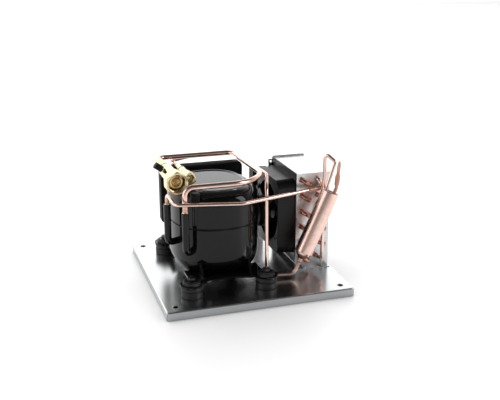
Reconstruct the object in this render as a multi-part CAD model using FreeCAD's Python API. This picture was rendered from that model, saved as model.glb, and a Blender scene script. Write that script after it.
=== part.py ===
# Small air-cooled hermetic condensing unit on a square sheet-steel base.
# Millimetres, +Z up. The origin is the middle of the footprint, on the surface the rim stands on.
# +X runs along the front edge towards the condenser, +Y runs to the back.
import FreeCAD, Part
import math
import os

from FreeCAD import Rotation, Vector

os.makedirs("parts", exist_ok=True)

# Base tray
PLATE_X = 330.0
PLATE_Y = 330.0
PLATE_SHEET = 2.0
RIM_HEIGHT = 15.0
PLATE_CORNER = 5.0
PLATE_BEND = 2.5
PLATE_HOLE_INSET = 19.0
PLATE_HOLE_DIAMETER = 10.0

# Compressor shell, set in from the tray's left edge
SHELL_HALF_X = 77.5
SHELL_HALF_Y = 88.0
SHELL_MARGIN = 43.5
SHELL_X = SHELL_MARGIN + SHELL_HALF_X - PLATE_X / 2
SHELL_Y = -3.5
SHELL_SQUARENESS = 2.4
SHELL_WALL = 3.0
SHELL_BOTTOM = 12.0
SHELL_SEAM = 105.0
SHELL_TOP = 167.5
BOWL_RADIUS = 38.0
SHOULDER_RADIUS = 24.0
SEAM_GAP = 1.8
SEAM_DEPTH = 0.9

# Rubber feet and the rails on them
FOOT_INSET_X = 11.5
FOOT_OUTSET_Y = 19.0
FOOT_PITCH_X = 2 * (SHELL_HALF_X - FOOT_INSET_X)
FOOT_PITCH_Y = 2 * (SHELL_HALF_Y + FOOT_OUTSET_Y)
GROMMET_RADIUS = 18.5
GROMMET_FLANGE_RADIUS = 15.0
GROMMET_LOWER = 19.0
GROMMET_UPPER = 5.0
GROMMET_NECK_RADIUS = 10.5
GROMMET_EDGE = 1.0
GROMMET_GROOVE_LOW = 10.5
GROMMET_GROOVE_DEPTH = 2.2
GROMMET_GROOVE_FLAT = 1.5
GROMMET_GROOVE_SLOPE = 1.3
RAIL_SHEET = 3.0
RAIL_EAR_RADIUS = 20.0
RAIL_HOLE_CLEARANCE = 0.3
RAIL_UNDER_BOWL = 39.6
RAIL_BRIDGE = 16.0
RAIL_SCOOP_RADIUS = 99.0
RAIL_SCOOP_DEPTH = 8.0
GUSSET_GAP = 2.0
GUSSET_SETBACK = 12.0
GUSSET_RUN = 22.0
GUSSET_HEIGHT = 30.0
SLEEVE_RADIUS = 6.0

# Fasteners
BOLT_RADIUS = 4.0
BOLT_HEAD_RADIUS = 7.5
BOLT_HEAD_HEIGHT = 5.3
BOLT_TAIL = 1.0
WASHER_RADIUS = 12.0
WASHER_SHEET = 1.6
NUT_HEIGHT = 6.5
FIT = 0.05
SCREW_RADIUS = 2.5
SCREW_HEAD_RADIUS = 4.6
SCREW_HEAD_HEIGHT = 3.4
SCREW_TAIL = 4.0
HEX_CREST_SHARE = 0.25
HEX_FACE_SHARE = 0.9
HEX_BEVEL_SLOPE = 0.6

# Copper lines, outside diameters
SUCTION_TUBE = 9.52
LIQUID_TUBE = 6.35
TUBE_WALL = 0.8
STUB_DIAMETER = 12.2
SOCKET_DEPTH = 8.0
SOCKET_WALL = 1.0
LINE_GAP = 1.0

# Electrical box behind the compressor, heights above the deck
EBOX_STANDOFF = 3.5
EBOX_SIDE_LEFT = -74.0
EBOX_SIDE_RIGHT = 85.0
EBOX_LEFT = SHELL_X + EBOX_SIDE_LEFT
EBOX_RIGHT = SHELL_X + EBOX_SIDE_RIGHT
EBOX_BASE_DEPTH = 5.0
EBOX_DEPTH = 22.0
EBOX_FRONT = SHELL_Y + SHELL_HALF_Y + EBOX_STANDOFF
EBOX_SPLIT = EBOX_FRONT + EBOX_BASE_DEPTH
EBOX_BACK = EBOX_FRONT + EBOX_DEPTH
EBOX_BELOW_SEAM = 42.0
EBOX_ABOVE_SHELL = 5.0
EBOX_BOTTOM = SHELL_SEAM - EBOX_BELOW_SEAM
EBOX_TOP = SHELL_TOP + EBOX_ABOVE_SHELL
EBOX_WALL = 2.0
EBOX_ROUND = 9.0
EBOX_FRONT_EDGE = 2.5
EBOX_BACK_EDGE = 4.0
EBOX_POST = 4.5
EBOX_POST_GAP = 2.0
BOX_SCREW_LENGTH = 10.0
BOX_SCREW_HOLE = 12.0
GLAND_RADIUS = 6.0
GLAND_INSET = 24.0
GLAND_LENGTH = 9.0
GLAND_SKIRT = 2.0
GLAND_WALL = 2.5
GLAND_LIP = 1.2

# Terminals and relay
TERMINAL_ABOVE_SEAM = 7.0
TERMINAL_Z = SHELL_SEAM + TERMINAL_ABOVE_SEAM
PIN_PITCH_X = 9.0
PIN_LOWER = 6.0
PIN_UPPER = 8.0
PIN_RADIUS = 1.6
BEAD_RADIUS = 4.0
BEAD_LENGTH = 9.5
PIN_ROOT = 10.0
PIN_CLEARANCE = 1.0
FENCE_HALF_X = 34.0
FENCE_HALF_Z = 28.0
FENCE_SHEET = 3.0
FENCE_ROOT = 14.0
WIRE_HOLE_HALF_X = 16.0
WIRE_HOLE_HALF_Z = 14.0
RELAY_HALF_X = 22.0
RELAY_HALF_Z = 18.0
RELAY_DEPTH = 14.0
RELAY_ROUND = 2.0

# Stubs on the shell
STUB_REACH = 30.0
STUB_TURN = 0.75
SUCTION_INSET_X = 9.5
SUCTION_INSET_Y = 6.5
SUCTION_X = SHELL_X - SHELL_HALF_X + SUCTION_INSET_X
SUCTION_Y = SHELL_Y - SHELL_HALF_Y + SUCTION_INSET_Y
SUCTION_BELOW_SEAM = 39.0
SUCTION_BELOW_TOP = 28.5
SUCTION_STUB_LOW = SHELL_SEAM - SUCTION_BELOW_SEAM
SUCTION_STUB_TOP = SHELL_TOP - SUCTION_BELOW_TOP
SUCTION_STUB_BEND = 11.0
DISCHARGE_OUTSET_X = 12.5
DISCHARGE_AHEAD = 40.5
DISCHARGE_X = SHELL_X - SHELL_HALF_X - DISCHARGE_OUTSET_X
DISCHARGE_Y = SHELL_Y - DISCHARGE_AHEAD
DISCHARGE_BELOW_SEAM = 30.0
DISCHARGE_BELOW_TOP = 23.5
DISCHARGE_STUB_LOW = SHELL_SEAM - DISCHARGE_BELOW_SEAM
DISCHARGE_STUB_TOP = SHELL_TOP - DISCHARGE_BELOW_TOP
DISCHARGE_STUB_BEND = 9.0
PROCESS_INSET_X = 28.5
PROCESS_INSET_Y = 14.5
PROCESS_X = SHELL_X - SHELL_HALF_X + PROCESS_INSET_X
PROCESS_Y = SHELL_Y - SHELL_HALF_Y + PROCESS_INSET_Y
PROCESS_CAP_RISE = 2.5
PROCESS_CAP_TOP = SHELL_TOP + PROCESS_CAP_RISE
PROCESS_CAP_RADIUS = 8.5
PROCESS_CAP_LENGTH = 17.0
PROCESS_CAP_BORE = 11.3
PROCESS_STEM_RADIUS = 4.0
PROCESS_STEM_DEPTH = 40.0
CAP_RIBS = 14
CAP_RIB_RADIUS = 0.8
CAP_RIB_LENGTH = 12.0

# Suction loop round the dome
LOOP_RISE = 14.5
LOOP_Z = SHELL_TOP + LOOP_RISE
LOOP_SIDE_GAP = 7.0
LOOP_RIGHT_X = SHELL_X + SHELL_HALF_X + LOOP_SIDE_GAP
LOOP_RIGHT_LEAN = 9.0
LOOP_BEHIND_BOX = 15.0
LOOP_BACK_Y = EBOX_BACK + LOOP_BEHIND_BOX
LOOP_FIRST_BEND = 14.0
LOOP_FRONT_BEND = 70.0
LOOP_BEND = 16.0

# Hot gas line along the front
HOT_GAS_TOP_DROP = 5.5
HOT_GAS_FRONT_DROP = 10.5
HOT_GAS_MIDDLE_DROP = 17.5
HOT_GAS_LEAN = 3.0
HOT_GAS_FRONT_GAP = 10.0
HOT_GAS_MIDDLE_GAP = 14.0
HOT_GAS_MIDDLE_RIGHT = 27.0
HOT_GAS_BENDS = [9.0, 12.0, 40.0]
INLET_STANDOFF = 8.0
INLET_RISE = 15.0
INLET_LEAN = 7.0
INLET_SOCKET_REACH = 14.0
INLET_BEND = 5.0

# Liquid line
LIQUID_LOW_Z = 7.0
LIQUID_DROP = 4.5
LIQUID_DIP = 6.0
RISER_SIDE_GAP = 8.0
RISER_SETBACK = 5.5
RISER_LEAN = 3.0
RISER_TOP_DROP = 16.0
RISER_X = LOOP_RIGHT_X - RISER_SIDE_GAP
RISER_Y = SUCTION_Y + RISER_SETBACK
RISER_TOP = LOOP_Z - RISER_TOP_DROP
RISER_BEND_SETBACK = 55.0
RISER_BEND_OUT = 1.5
LIQUID_DIP_LEAD = 36.0
LIQUID_DIP_TAIL = 22.0
LIQUID_BENDS = [14.0, 12.0, 24.0, 30.0, 16.0, 60.0, 12.0, 60.0]

# Condenser coil, set in from the tray's right edge
COIL_MARGIN = 3.5
COIL_WIDTH = 63.5
COIL_DEPTH = 127.0
COIL_RIGHT = PLATE_X / 2 - COIL_MARGIN
COIL_LEFT = COIL_RIGHT - COIL_WIDTH
COIL_FRONT = -52.0
COIL_BACK = COIL_FRONT + COIL_DEPTH
COIL_TOP = 179.0
COIL_BOTTOM = 9.0
COIL_REAR_RISE = 3.0
COIL_SHEET = 1.2
COIL_TUBE = 7.0
COIL_TUBE_CLEARANCE = 0.1
COIL_COLUMN_PITCH = 15.0
COIL_ROW_PITCH = 29.0
COIL_ROWS = 6
COIL_FIRST_COLUMN = 9.0
COIL_FIRST_ROW = 11.0
COIL_STAGGER = 9.0
COIL_BEND_RUN = 1.5
COIL_SCREW_INSET = 14.0
FIN_PITCH = 3.6
FIN_SHEET = 0.6
FIN_INSET = 1.0
FIN_TOP_GAP = 0.3
FOOT_FLANGE = 10.0
EAR_WIDTH = 9.0
EAR_HEIGHT = 15.0
EAR_BELOW_TOP = 6.0
EAR_HOLE_RADIUS = 2.2

# Fan and shroud
SHROUD_DEPTH = 32.5
SHROUD_SHEET = 1.5
SHROUD_INSET = 4.0
SHROUD_DRAFT = 3.0
SHROUD_CORNER = 14.0
SHROUD_BOTTOM = 22.0
SHROUD_RISE = 1.5
SHROUD_TOP_STEP = 8.0
FAN_Z = 97.0
ORIFICE_RADIUS = 55.0
ORIFICE_LIP = 8.0
FAN_RADIUS = 52.0
FAN_SETBACK = 15.0
FAN_HUB_RADIUS = 17.0
FAN_HUB_LENGTH = 13.0
FAN_HUB_LEAD = 6.0
FAN_BLADES = 5
FAN_BLADE_SHEET = 1.4
FAN_BLADE_SINK = 1.0
FAN_MIDDLE_RADIUS = 34.0
FAN_CHORDS = [20.0, 34.0, 44.0]
FAN_PITCHES = [46.0, 32.0, 20.0]
MOTOR_RADIUS = 29.0
MOTOR_DEPTH = 22.0
MOTOR_SHAFT_RADIUS = 3.0
MOTOR_SHAFT_OUT = 20.2
MOTOR_END_PLAY = 0.2
MOTOR_END_GAP = 3.0
MOTOR_BOSS_RADIUS = 9.0
MOTOR_CHAMFER = 4.0
MOTOR_STEP = 3.0
MOTOR_GROOVE = 1.5
SPIDER_SHEET = 1.5
SPIDER_ARM = 14.0
SPIDER_HUB_RADIUS = 20.0
SPIDER_REACH = 62.0
SPIDER_MARGIN = 8.0
RIVET_CIRCLE = 59.0
RIVET_RADIUS = 3.4
RIVET_HEIGHT = 2.0

# Filter drier in front of the coil
DRIER_RADIUS = 16.0
DRIER_LENGTH = 136.0
DRIER_TILT = 24.1
DRIER_LEFT_OF_COIL = 7.0
DRIER_AHEAD = 38.5
DRIER_X = COIL_LEFT - DRIER_LEFT_OF_COIL
DRIER_Y = COIL_FRONT - DRIER_AHEAD
DRIER_Z = 30.0
DRIER_WALL = 1.0
DRIER_CONE = 15.0
DRIER_SHOULDER = 4.0
DRIER_NECK_RADIUS = 4.4
DRIER_NECK_LENGTH = 6.0
DRIER_RIM = 2.0
DRIER_CAP_DEPTH = 4.0
DRIER_CAP_SHEET = 2.5
DRIER_INLET_OFFSET = 8.5
DRIER_PROCESS_OFFSET = 8.0
CORE_GAP = 0.3
CORE_LOW = 31.0
CORE_END_GAP = 30.0
CORE_EDGE = 1.0

# Hairpin over the drier and the pinched tube beside it, measured from the drier's top
HAIRPIN_RISE = 64.8
HAIRPIN_SHOULDER_RISE = 51.8
HAIRPIN_SETBACK = 3.0
HAIRPIN_REACH = 12.5
HAIRPIN_FORWARD = 5.0
HAIRPIN_BEND = 5.0
HAIRPIN_FOOT_LEAN = 5.0
OUTLET_STANDOFF = 10.0
OUTLET_BEND = 8.0
PROCESS_KNEE = 9.0
PROCESS_BEND = 12.0
PROCESS_LEAN = 4.0
PROCESS_RISE = 46.0
PROCESS_SLEEVE_WALL = 1.2
PROCESS_SLEEVE_LENGTH = 18.0
PINCH_LENGTH = 7.0
PINCH_HALF = 1.0

# Control box behind the coil
CBOX_BEYOND_LEFT = 34.0
CBOX_BEYOND_RIGHT = 2.0
CBOX_BEHIND_COIL = 17.0
CBOX_DEPTH = 26.0
CBOX_LID = 8.0
CBOX_LEFT = COIL_LEFT - CBOX_BEYOND_LEFT
CBOX_RIGHT = COIL_LEFT + CBOX_BEYOND_RIGHT
CBOX_FRONT = COIL_BACK + CBOX_BEHIND_COIL
CBOX_SPLIT = CBOX_FRONT + CBOX_LID
CBOX_BACK = CBOX_FRONT + CBOX_DEPTH
CBOX_BOTTOM = 62.0
CBOX_TOP = 151.0
CBOX_WALL = 2.0
CBOX_ROUND = 3.0
CBOX_FRONT_EDGE = 2.0
BRACKET_INSET = 6.0
BRACKET_TOP_GAP = 12.0
BRACKET_FOOT = 22.0
BRACKET_HOLE_SET = 12.0
BRACKET_HOLE_PITCH = 20.0

# Quick couplings
COUPLING_INSET_X = 4.0
COUPLING_INSET_Y = 34.5
COUPLING_X = SHELL_X - SHELL_HALF_X + COUPLING_INSET_X
COUPLING_FRONT = SHELL_Y - SHELL_HALF_Y + COUPLING_INSET_Y
COUPLING_NUT_FLATS = 36.5
COUPLING_NUT_LENGTH = 25.0
COUPLING_BORE = 15.7
COUPLING_BODY_RADIUS = 12.7
COUPLING_NECK_RADIUS = 7.8
COUPLING_BODY_LENGTH = 99.0
COUPLING_LENGTH = 149.0
LIQUID_COUPLING_PITCH = 27.5
LIQUID_COUPLING_SETBACK = 27.0
LIQUID_COUPLING_X = COUPLING_X + LIQUID_COUPLING_PITCH
LIQUID_COUPLING_FRONT = COUPLING_FRONT + LIQUID_COUPLING_SETBACK
LIQUID_COUPLING_LOWER = 1.5
LIQUID_NUT_FLATS = 21.0
LIQUID_NUT_LENGTH = 20.0
LIQUID_BORE = 8.5
LIQUID_BODY_RADIUS = 7.2
LIQUID_NECK_RADIUS = 5.0
LIQUID_BODY_LENGTH = 66.0
LIQUID_LENGTH = 92.0
MATE_DEPTH_SHARE = 0.45
VALVE_SHARE = 0.62
VALVE_POCKET = 28.0
COLLAR_GAP = 4.0
PORT_TILT = 35.0
PORT_AHEAD = 71.0
PORT_STEM_RADIUS = 3.6
PORT_STEM_LENGTH = 14.0
PORT_STEM_ROOT = 1.5
PORT_CAP_RADIUS = 5.75
PORT_CAP_LENGTH = 15.0
PORT_CAP_BORE = 12.0
PORT_RIBS = 12
PORT_RIB_RADIUS = 0.7
POPPET_TRAVEL = 5.0

# Motor and pump inside the shell, heights above the deck
STATOR_HALF = 50.0
STATOR_CORNER = 16.0
STATOR_BORE = 30.6
STATOR_LOW = 44.0
STATOR_HEIGHT = 40.0
WINDING_OUTER = 39.5
WINDING_INNER = 33.0
WINDING_OUT = 9.0
ROTOR_RADIUS = 30.0
CRANK_RADIUS = 8.0
CRANK_THROW = 8.0
CRANK_FOOT = 12.0
CRANK_WEB_RADIUS = 18.0
CRANK_WEB = 6.0
CRANK_WEB_RISE = 22.0
CRANK_PIN_RADIUS = 4.5
CRANK_PIN_LENGTH = 14.0
BLOCK_LOW = 96.0
BLOCK_HALF_X = 44.0
BLOCK_AHEAD = 66.0
BLOCK_BEHIND = 44.0
BLOCK_SHEET = 10.0
BLOCK_CORNER = 14.0
BEARING_RADIUS = 15.0
BEARING_LENGTH = 21.0
BARREL_HALF = 17.0
BARREL_TOP = 16.0
BARREL_AHEAD = 62.0
BARREL_BEHIND = 28.0
PISTON_RADIUS = 11.0
PISTON_BORE = 8.0
PISTON_CROWN = 5.0
PISTON_LENGTH = 18.0
PISTON_AHEAD = 53.0
PISTON_Z = 132.0
PISTON_FIT = 0.02
HEAD_DEPTH = 9.0
HEAD_LIFT = 12.0
HEAD_CORNER = 4.0
SPRING_RADIUS = 7.0
SPRING_BORE = 5.2
SPRING_PITCH = 66.0
SPRING_GAP = 0.3

# Cutters run this far past what they cut
PAST = 5.0

# Heights above the plate are turned into heights above the floor by adding the rim
DECK = RIM_HEIGHT
FLOOR_CLEAR = DECK - PLATE_SHEET
EAR_LOW = DECK + GROMMET_LOWER
EAR_TOP = EAR_LOW + RAIL_SHEET
GROMMET_TOP = EAR_TOP + GROMMET_UPPER
FOOT_CENTRES = [
    (SHELL_X + sx * FOOT_PITCH_X / 2, SHELL_Y + sy * FOOT_PITCH_Y / 2)
    for sy in (-1, 1)
    for sx in (-1, 1)
]
SHROUD_RIGHT = COIL_LEFT
SHROUD_LEFT = COIL_LEFT - SHROUD_DEPTH
FAN_Y = (COIL_FRONT + COIL_BACK) / 2
AXIS_X = Vector(1, 0, 0)
AXIS_Y = Vector(0, 1, 0)
AXIS_Z = Vector(0, 0, 1)


def save(name, shape):
    """Write one node as a STEP file."""
    shape.exportStep("parts/" + name + ".step")
    print(name, len(shape.Solids), round(shape.Volume, 1), shape.isValid())


def block(x0, x1, y0, y1, z0, z1):
    """Box between two corners."""
    return Part.makeBox(x1 - x0, y1 - y0, z1 - z0, Vector(x0, y0, z0))


def rod(radius, start, axis, length):
    """Round bar from a point along an axis."""
    return Part.makeCylinder(radius, length, start, axis)


def ring(outer, inner, start, axis, length):
    """Round bar with a hole."""
    return rod(outer, start, axis, length).cut(rod(inner, start, axis, length))


def group(shapes):
    """Several separate solids in one node."""
    return Part.makeCompound(shapes)


def largest(shape):
    """The biggest solid that a cut leaves."""
    return max(shape.Solids, key=lambda s: s.Volume)


def along(shape, axis):
    """Edges that run along one axis: "X", "Y" or "Z"."""
    return [e for e in shape.Edges if getattr(e.BoundBox, axis + "Length") > 1]


def turned(profile, centre, axis=AXIS_Z):
    """Solid of revolution. The profile holds (radius, height) pairs along the axis."""
    points = [Vector(r, 0, h) for r, h in profile]
    face = Part.Face(Part.makePolygon(points + points[:1]))
    solid = face.revolve(Vector(0, 0, 0), AXIS_Z, 360)
    solid.Placement = FreeCAD.Placement(centre, Rotation(AXIS_Z, axis))
    return solid


def bend_pieces(points, radii):
    """Straight runs and tangent arcs of a bent path: (start, end, centre of the arc or None)."""
    pieces = []
    start = points[0]
    for before, corner, after, radius in zip(points, points[1:], points[2:], radii):
        towards = (before - corner).normalize()
        away = (after - corner).normalize()
        half = towards.getAngle(away) / 2
        reach = radius / math.tan(half)
        first = corner + towards * reach
        last = corner + away * reach
        centre = corner + (towards + away).normalize() * (radius / math.sin(half))
        pieces.append((start, first, None))
        pieces.append((first, last, centre))
        start = last
    pieces.append((start, points[-1], None))
    return pieces


def bent_bar(points, radii, diameter):
    """Round bar that follows a bent path: a cylinder for each run, part of a torus for each arc."""
    solids = []
    for start, end, centre in bend_pieces([Vector(*p) for p in points], radii):
        if centre is None:
            solids.append(rod(diameter / 2, start, end - start, (end - start).Length))
            continue
        spoke = start - centre
        normal = spoke.cross(end - centre)
        heading = normal.cross(spoke)
        section = Part.Face(Part.Wire(Part.makeCircle(diameter / 2, start, heading)))
        turn = math.degrees(spoke.getAngle(end - centre))
        solids.append(section.revolve(centre, normal, turn))
    return solids[0].fuse(solids[1:])


def bent_tube(points, radii, diameter):
    """Drawn copper tube along a bent path."""
    outer = bent_bar(points, radii, diameter)
    return outer.cut(bent_bar(points, radii, diameter - 2 * TUBE_WALL))


def rounded_rectangle(x, y0, y1, z0, z1, radius):
    """Closed wire in a plane of constant X, with arcs at its four corners."""
    corners = [(y0, z0), (y1, z0), (y1, z1), (y0, z1)]
    edges = []
    last = None
    first = None
    for k, (y, z) in enumerate(corners):
        before = corners[k - 1]
        after = corners[(k + 1) % 4]
        corner = Vector(x, y, z)
        towards = (Vector(x, *before) - corner).normalize()
        away = (Vector(x, *after) - corner).normalize()
        a = corner + towards * radius
        b = corner + away * radius
        middle = corner + (towards + away) * radius * (1 - math.sqrt(0.5))
        if last is None:
            first = a
        else:
            edges.append(Part.LineSegment(last, a).toShape())
        edges.append(Part.Arc(a, middle, b).toShape())
        last = b
    edges.append(Part.LineSegment(last, first).toShape())
    return Part.Wire(edges)


def oval(half_x, half_y, z, count=20):
    """Closed smooth oval about the shell's axis, a little squarer than an ellipse."""
    power = 2 / SHELL_SQUARENESS
    points = []
    for k in range(count):
        angle = 2 * math.pi * (k + 0.5) / count
        c = math.cos(angle)
        s = math.sin(angle)
        x = SHELL_X + half_x * math.copysign(abs(c) ** power, c)
        y = SHELL_Y + half_y * math.copysign(abs(s) ** power, s)
        points.append(Vector(x, y, z))
    curve = Part.BSplineCurve()
    curve.interpolate(Points=points, PeriodicFlag=True)
    return Part.Wire([curve.toShape()])


def oval_bar(inset, low, high):
    """Upright oval block, set in from the shell's outside."""
    face = Part.Face(oval(SHELL_HALF_X - inset, SHELL_HALF_Y - inset, low))
    return face.extrude(Vector(0, 0, high - low))


def shell_form(inset):
    """Whole body of the shell as one solid: deep bowl, straight wall, rounded shoulder, crowned top."""
    low = DECK + SHELL_BOTTOM + inset
    high = DECK + SHELL_TOP - inset
    solid = oval_bar(inset, low, high)
    bowl = [e for e in solid.Edges if e.BoundBox.ZMax < low + 0.01]
    solid = solid.makeFillet(BOWL_RADIUS - inset, bowl)
    shoulder = [e for e in solid.Edges if e.BoundBox.ZMin > high - 0.01]
    solid = solid.makeFillet(SHOULDER_RADIUS - inset, shoulder)
    return solid


def compressor_shells():
    """Lower bowl, upper cover and the weld between them."""
    outer = shell_form(0)
    inner = shell_form(SHELL_WALL)
    hollow = outer.cut(inner)
    seam = DECK + SHELL_SEAM
    low_half = oval_bar(-PAST, 0, seam - SEAM_GAP / 2)
    high_half = oval_bar(-PAST, seam + SEAM_GAP / 2, DECK + SHELL_TOP + PAST)
    weld = oval_bar(SEAM_DEPTH, seam - SEAM_GAP / 2, seam + SEAM_GAP / 2)
    weld = weld.cut(oval_bar(SHELL_WALL, seam - SEAM_GAP, seam + SEAM_GAP))
    return hollow.common(low_half), hollow.common(high_half), weld, outer


def foot_rail(side, shell):
    """Pressed rail under the bowl, with an ear over each grommet and two upright gussets."""
    y = SHELL_Y + side * FOOT_PITCH_Y / 2
    left = SHELL_X - FOOT_PITCH_X / 2
    right = SHELL_X + FOOT_PITCH_X / 2
    inner_y = SHELL_Y + side * (SHELL_HALF_Y - RAIL_UNDER_BOWL)
    ears = [rod(RAIL_EAR_RADIUS, Vector(x, y, EAR_LOW), AXIS_Z, RAIL_SHEET) for x in (left, right)]
    edge = y - side * RAIL_BRIDGE
    web = block(left, right, min(edge, inner_y), max(edge, inner_y), EAR_LOW, EAR_TOP)
    bridge = block(left, right, min(y, edge), max(y, edge), EAR_LOW, EAR_TOP)
    rail = ears[0].fuse([ears[1], web, bridge])
    middle = y + side * (RAIL_SCOOP_RADIUS - RAIL_SCOOP_DEPTH)
    rail = rail.cut(rod(RAIL_SCOOP_RADIUS, Vector(SHELL_X, middle, EAR_LOW), AXIS_Z, RAIL_SHEET))
    foot_y = y - side * GUSSET_SETBACK
    top_y = foot_y - side * GUSSET_RUN
    top_z = EAR_TOP + GUSSET_HEIGHT
    inset = RAIL_EAR_RADIUS + GUSSET_GAP
    for x, lean in ((left + inset, 1), (right - inset, -1)):
        gusset = Part.Face(Part.makePolygon([
            Vector(x, foot_y, EAR_TOP),
            Vector(x, inner_y, EAR_TOP),
            Vector(x, inner_y, top_z),
            Vector(x, top_y, top_z),
            Vector(x, foot_y, EAR_TOP),
        ]))
        rail = rail.fuse(gusset.extrude(Vector(lean * RAIL_SHEET, 0, 0)))
    rail = rail.cut(shell)
    for x in (left, right):
        hole = GROMMET_NECK_RADIUS + RAIL_HOLE_CLEARANCE
        rail = rail.cut(rod(hole, Vector(x, y, EAR_LOW), AXIS_Z, RAIL_SHEET))
    return largest(rail).removeSplitter()


def grommet(x, y):
    """Ribbed rubber foot with a waist for the rail."""
    r = GROMMET_RADIUS
    edge = GROMMET_EDGE
    bore = SLEEVE_RADIUS + FIT
    low = GROMMET_LOWER
    neck = low + RAIL_SHEET
    top = neck + GROMMET_UPPER
    groove = GROMMET_GROOVE_LOW
    floor = groove + GROMMET_GROOVE_SLOPE
    deep = r - GROMMET_GROOVE_DEPTH
    profile = [
        (bore, 0), (r - edge, 0), (r, edge), (r, groove), (deep, floor), (deep, floor + GROMMET_GROOVE_FLAT),
        (r, floor + GROMMET_GROOVE_FLAT + GROMMET_GROOVE_SLOPE), (r, low - edge), (r - edge, low),
        (GROMMET_NECK_RADIUS, low), (GROMMET_NECK_RADIUS, neck), (GROMMET_FLANGE_RADIUS, neck),
        (GROMMET_FLANGE_RADIUS, top - edge), (GROMMET_FLANGE_RADIUS - edge, top), (bore, top),
    ]
    return turned(profile, Vector(x, y, DECK))


def hexagon_bar(across, centre, axis, length, turn=0.0):
    """Hexagonal bar with its corners taken off at both ends."""
    corner = across / math.sqrt(3)
    points = []
    for k in range(7):
        angle = math.radians(60 * k + turn)
        points.append(Vector(corner * math.cos(angle), corner * math.sin(angle), 0))
    solid = Part.Face(Part.makePolygon(points)).extrude(Vector(0, 0, length))
    crest = corner - (corner - across / 2) * HEX_CREST_SHARE
    bevel = (corner - across / 2) * HEX_FACE_SHARE
    drop = bevel * HEX_BEVEL_SLOPE
    face = corner - bevel
    cone = [(0, 0), (face, 0), (crest, drop), (crest, length - drop), (face, length), (0, length)]
    solid = solid.common(turned(cone, Vector(0, 0, 0)))
    solid.Placement = FreeCAD.Placement(centre, Rotation(AXIS_Z, axis))
    return solid


def foot_hardware():
    """Grommets, sleeves, washers, bolts and nuts at the four feet."""
    grommets = []
    sleeves = []
    washers = []
    bolts = []
    nuts = []
    across = 2 * BOLT_HEAD_RADIUS * math.cos(math.pi / 6)
    hole = BOLT_RADIUS + FIT
    seat = GROMMET_TOP + WASHER_SHEET
    nut_low = FLOOR_CLEAR - NUT_HEIGHT
    tail = nut_low - BOLT_TAIL
    for x, y in FOOT_CENTRES:
        grommets.append(grommet(x, y))
        sleeves.append(ring(SLEEVE_RADIUS, hole, Vector(x, y, DECK), AXIS_Z, GROMMET_TOP - DECK))
        washers.append(ring(WASHER_RADIUS, hole, Vector(x, y, GROMMET_TOP), AXIS_Z, WASHER_SHEET))
        head = hexagon_bar(across, Vector(x, y, seat), AXIS_Z, BOLT_HEAD_HEIGHT)
        bolts.append(head.fuse(rod(BOLT_RADIUS, Vector(x, y, tail), AXIS_Z, seat - tail)))
        nut = hexagon_bar(across, Vector(x, y, nut_low), AXIS_Z, NUT_HEIGHT)
        nuts.append(nut.cut(rod(hole, Vector(x, y, tail), AXIS_Z, NUT_HEIGHT + PAST)))
    return grommets, sleeves, washers, bolts, nuts


def coil_foot_holes():
    """Places of the four bolts that hold the coil's feet."""
    places = []
    for y in (COIL_FRONT - FOOT_FLANGE / 2, COIL_BACK + COIL_SHEET + FOOT_FLANGE / 2):
        for x in (COIL_LEFT + COIL_SCREW_INSET, COIL_RIGHT - COIL_SCREW_INSET):
            places.append((x, y))
    return places


def base_plate():
    """Folded tray: flat deck, rounded bend, rim all round, corner holes."""
    outer = block(-PLATE_X / 2, PLATE_X / 2, -PLATE_Y / 2, PLATE_Y / 2, 0, RIM_HEIGHT)
    outer = outer.makeFillet(PLATE_CORNER, along(outer, "Z"))
    top = [e for e in outer.Edges if e.BoundBox.ZMin > RIM_HEIGHT - 0.01]
    outer = outer.makeFillet(PLATE_BEND, top)
    s = PLATE_SHEET
    inner = block(-PLATE_X / 2 + s, PLATE_X / 2 - s, -PLATE_Y / 2 + s, PLATE_Y / 2 - s, 0, FLOOR_CLEAR)
    inner = inner.makeFillet(PLATE_CORNER - s, along(inner, "Z"))
    tray = outer.cut(inner)
    holes = []
    for sx in (-1, 1):
        for sy in (-1, 1):
            x = sx * (PLATE_X / 2 - PLATE_HOLE_INSET)
            y = sy * (PLATE_Y / 2 - PLATE_HOLE_INSET)
            holes.append(rod(PLATE_HOLE_DIAMETER / 2, Vector(x, y, 0), AXIS_Z, RIM_HEIGHT))
    for x, y in FOOT_CENTRES:
        holes.append(rod(BOLT_RADIUS + FIT, Vector(x, y, 0), AXIS_Z, RIM_HEIGHT))
    for x, y in coil_foot_holes() + bracket_holes():
        holes.append(rod(SCREW_RADIUS + FIT, Vector(x, y, 0), AXIS_Z, RIM_HEIGHT))
    return tray.cut(holes)


def floor_screw(x, y, seat):
    """Hexagon screw through the deck, with its head on a foot flange."""
    across = 2 * SCREW_HEAD_RADIUS * math.cos(math.pi / 6)
    head = hexagon_bar(across, Vector(x, y, seat), AXIS_Z, SCREW_HEAD_HEIGHT)
    low = FLOOR_CLEAR - SCREW_TAIL
    return head.fuse(rod(SCREW_RADIUS, Vector(x, y, low), AXIS_Z, seat - low))


def bracket_holes():
    """Places of the two screws in the control box bracket's foot."""
    middle = (CBOX_LEFT + CBOX_RIGHT) / 2
    y = CBOX_BACK + BRACKET_HOLE_SET
    return [(middle + side * BRACKET_HOLE_PITCH / 2, y) for side in (-1, 1)]


def stub(points, bend, shell, tube):
    """Steel stub brazed into the shell, opened at its top for a copper tube."""
    solid = bent_bar(points, [bend], STUB_DIAMETER)
    end = Vector(*points[-1])
    back = (Vector(*points[-2]) - end).normalize()
    solid = solid.cut(rod(tube / 2 + FIT, end, back, SOCKET_DEPTH))
    return largest(solid.cut(shell))


def stub_route(x, y, low, top):
    """From inside the shell wall out to the stub's upright leg, then up."""
    inward = Vector(SHELL_X - x, (SHELL_Y - y) * STUB_TURN, 0).normalize() * STUB_REACH
    return [(x + inward.x, y + inward.y, low), (x, y, low), (x, y, top)]


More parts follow.
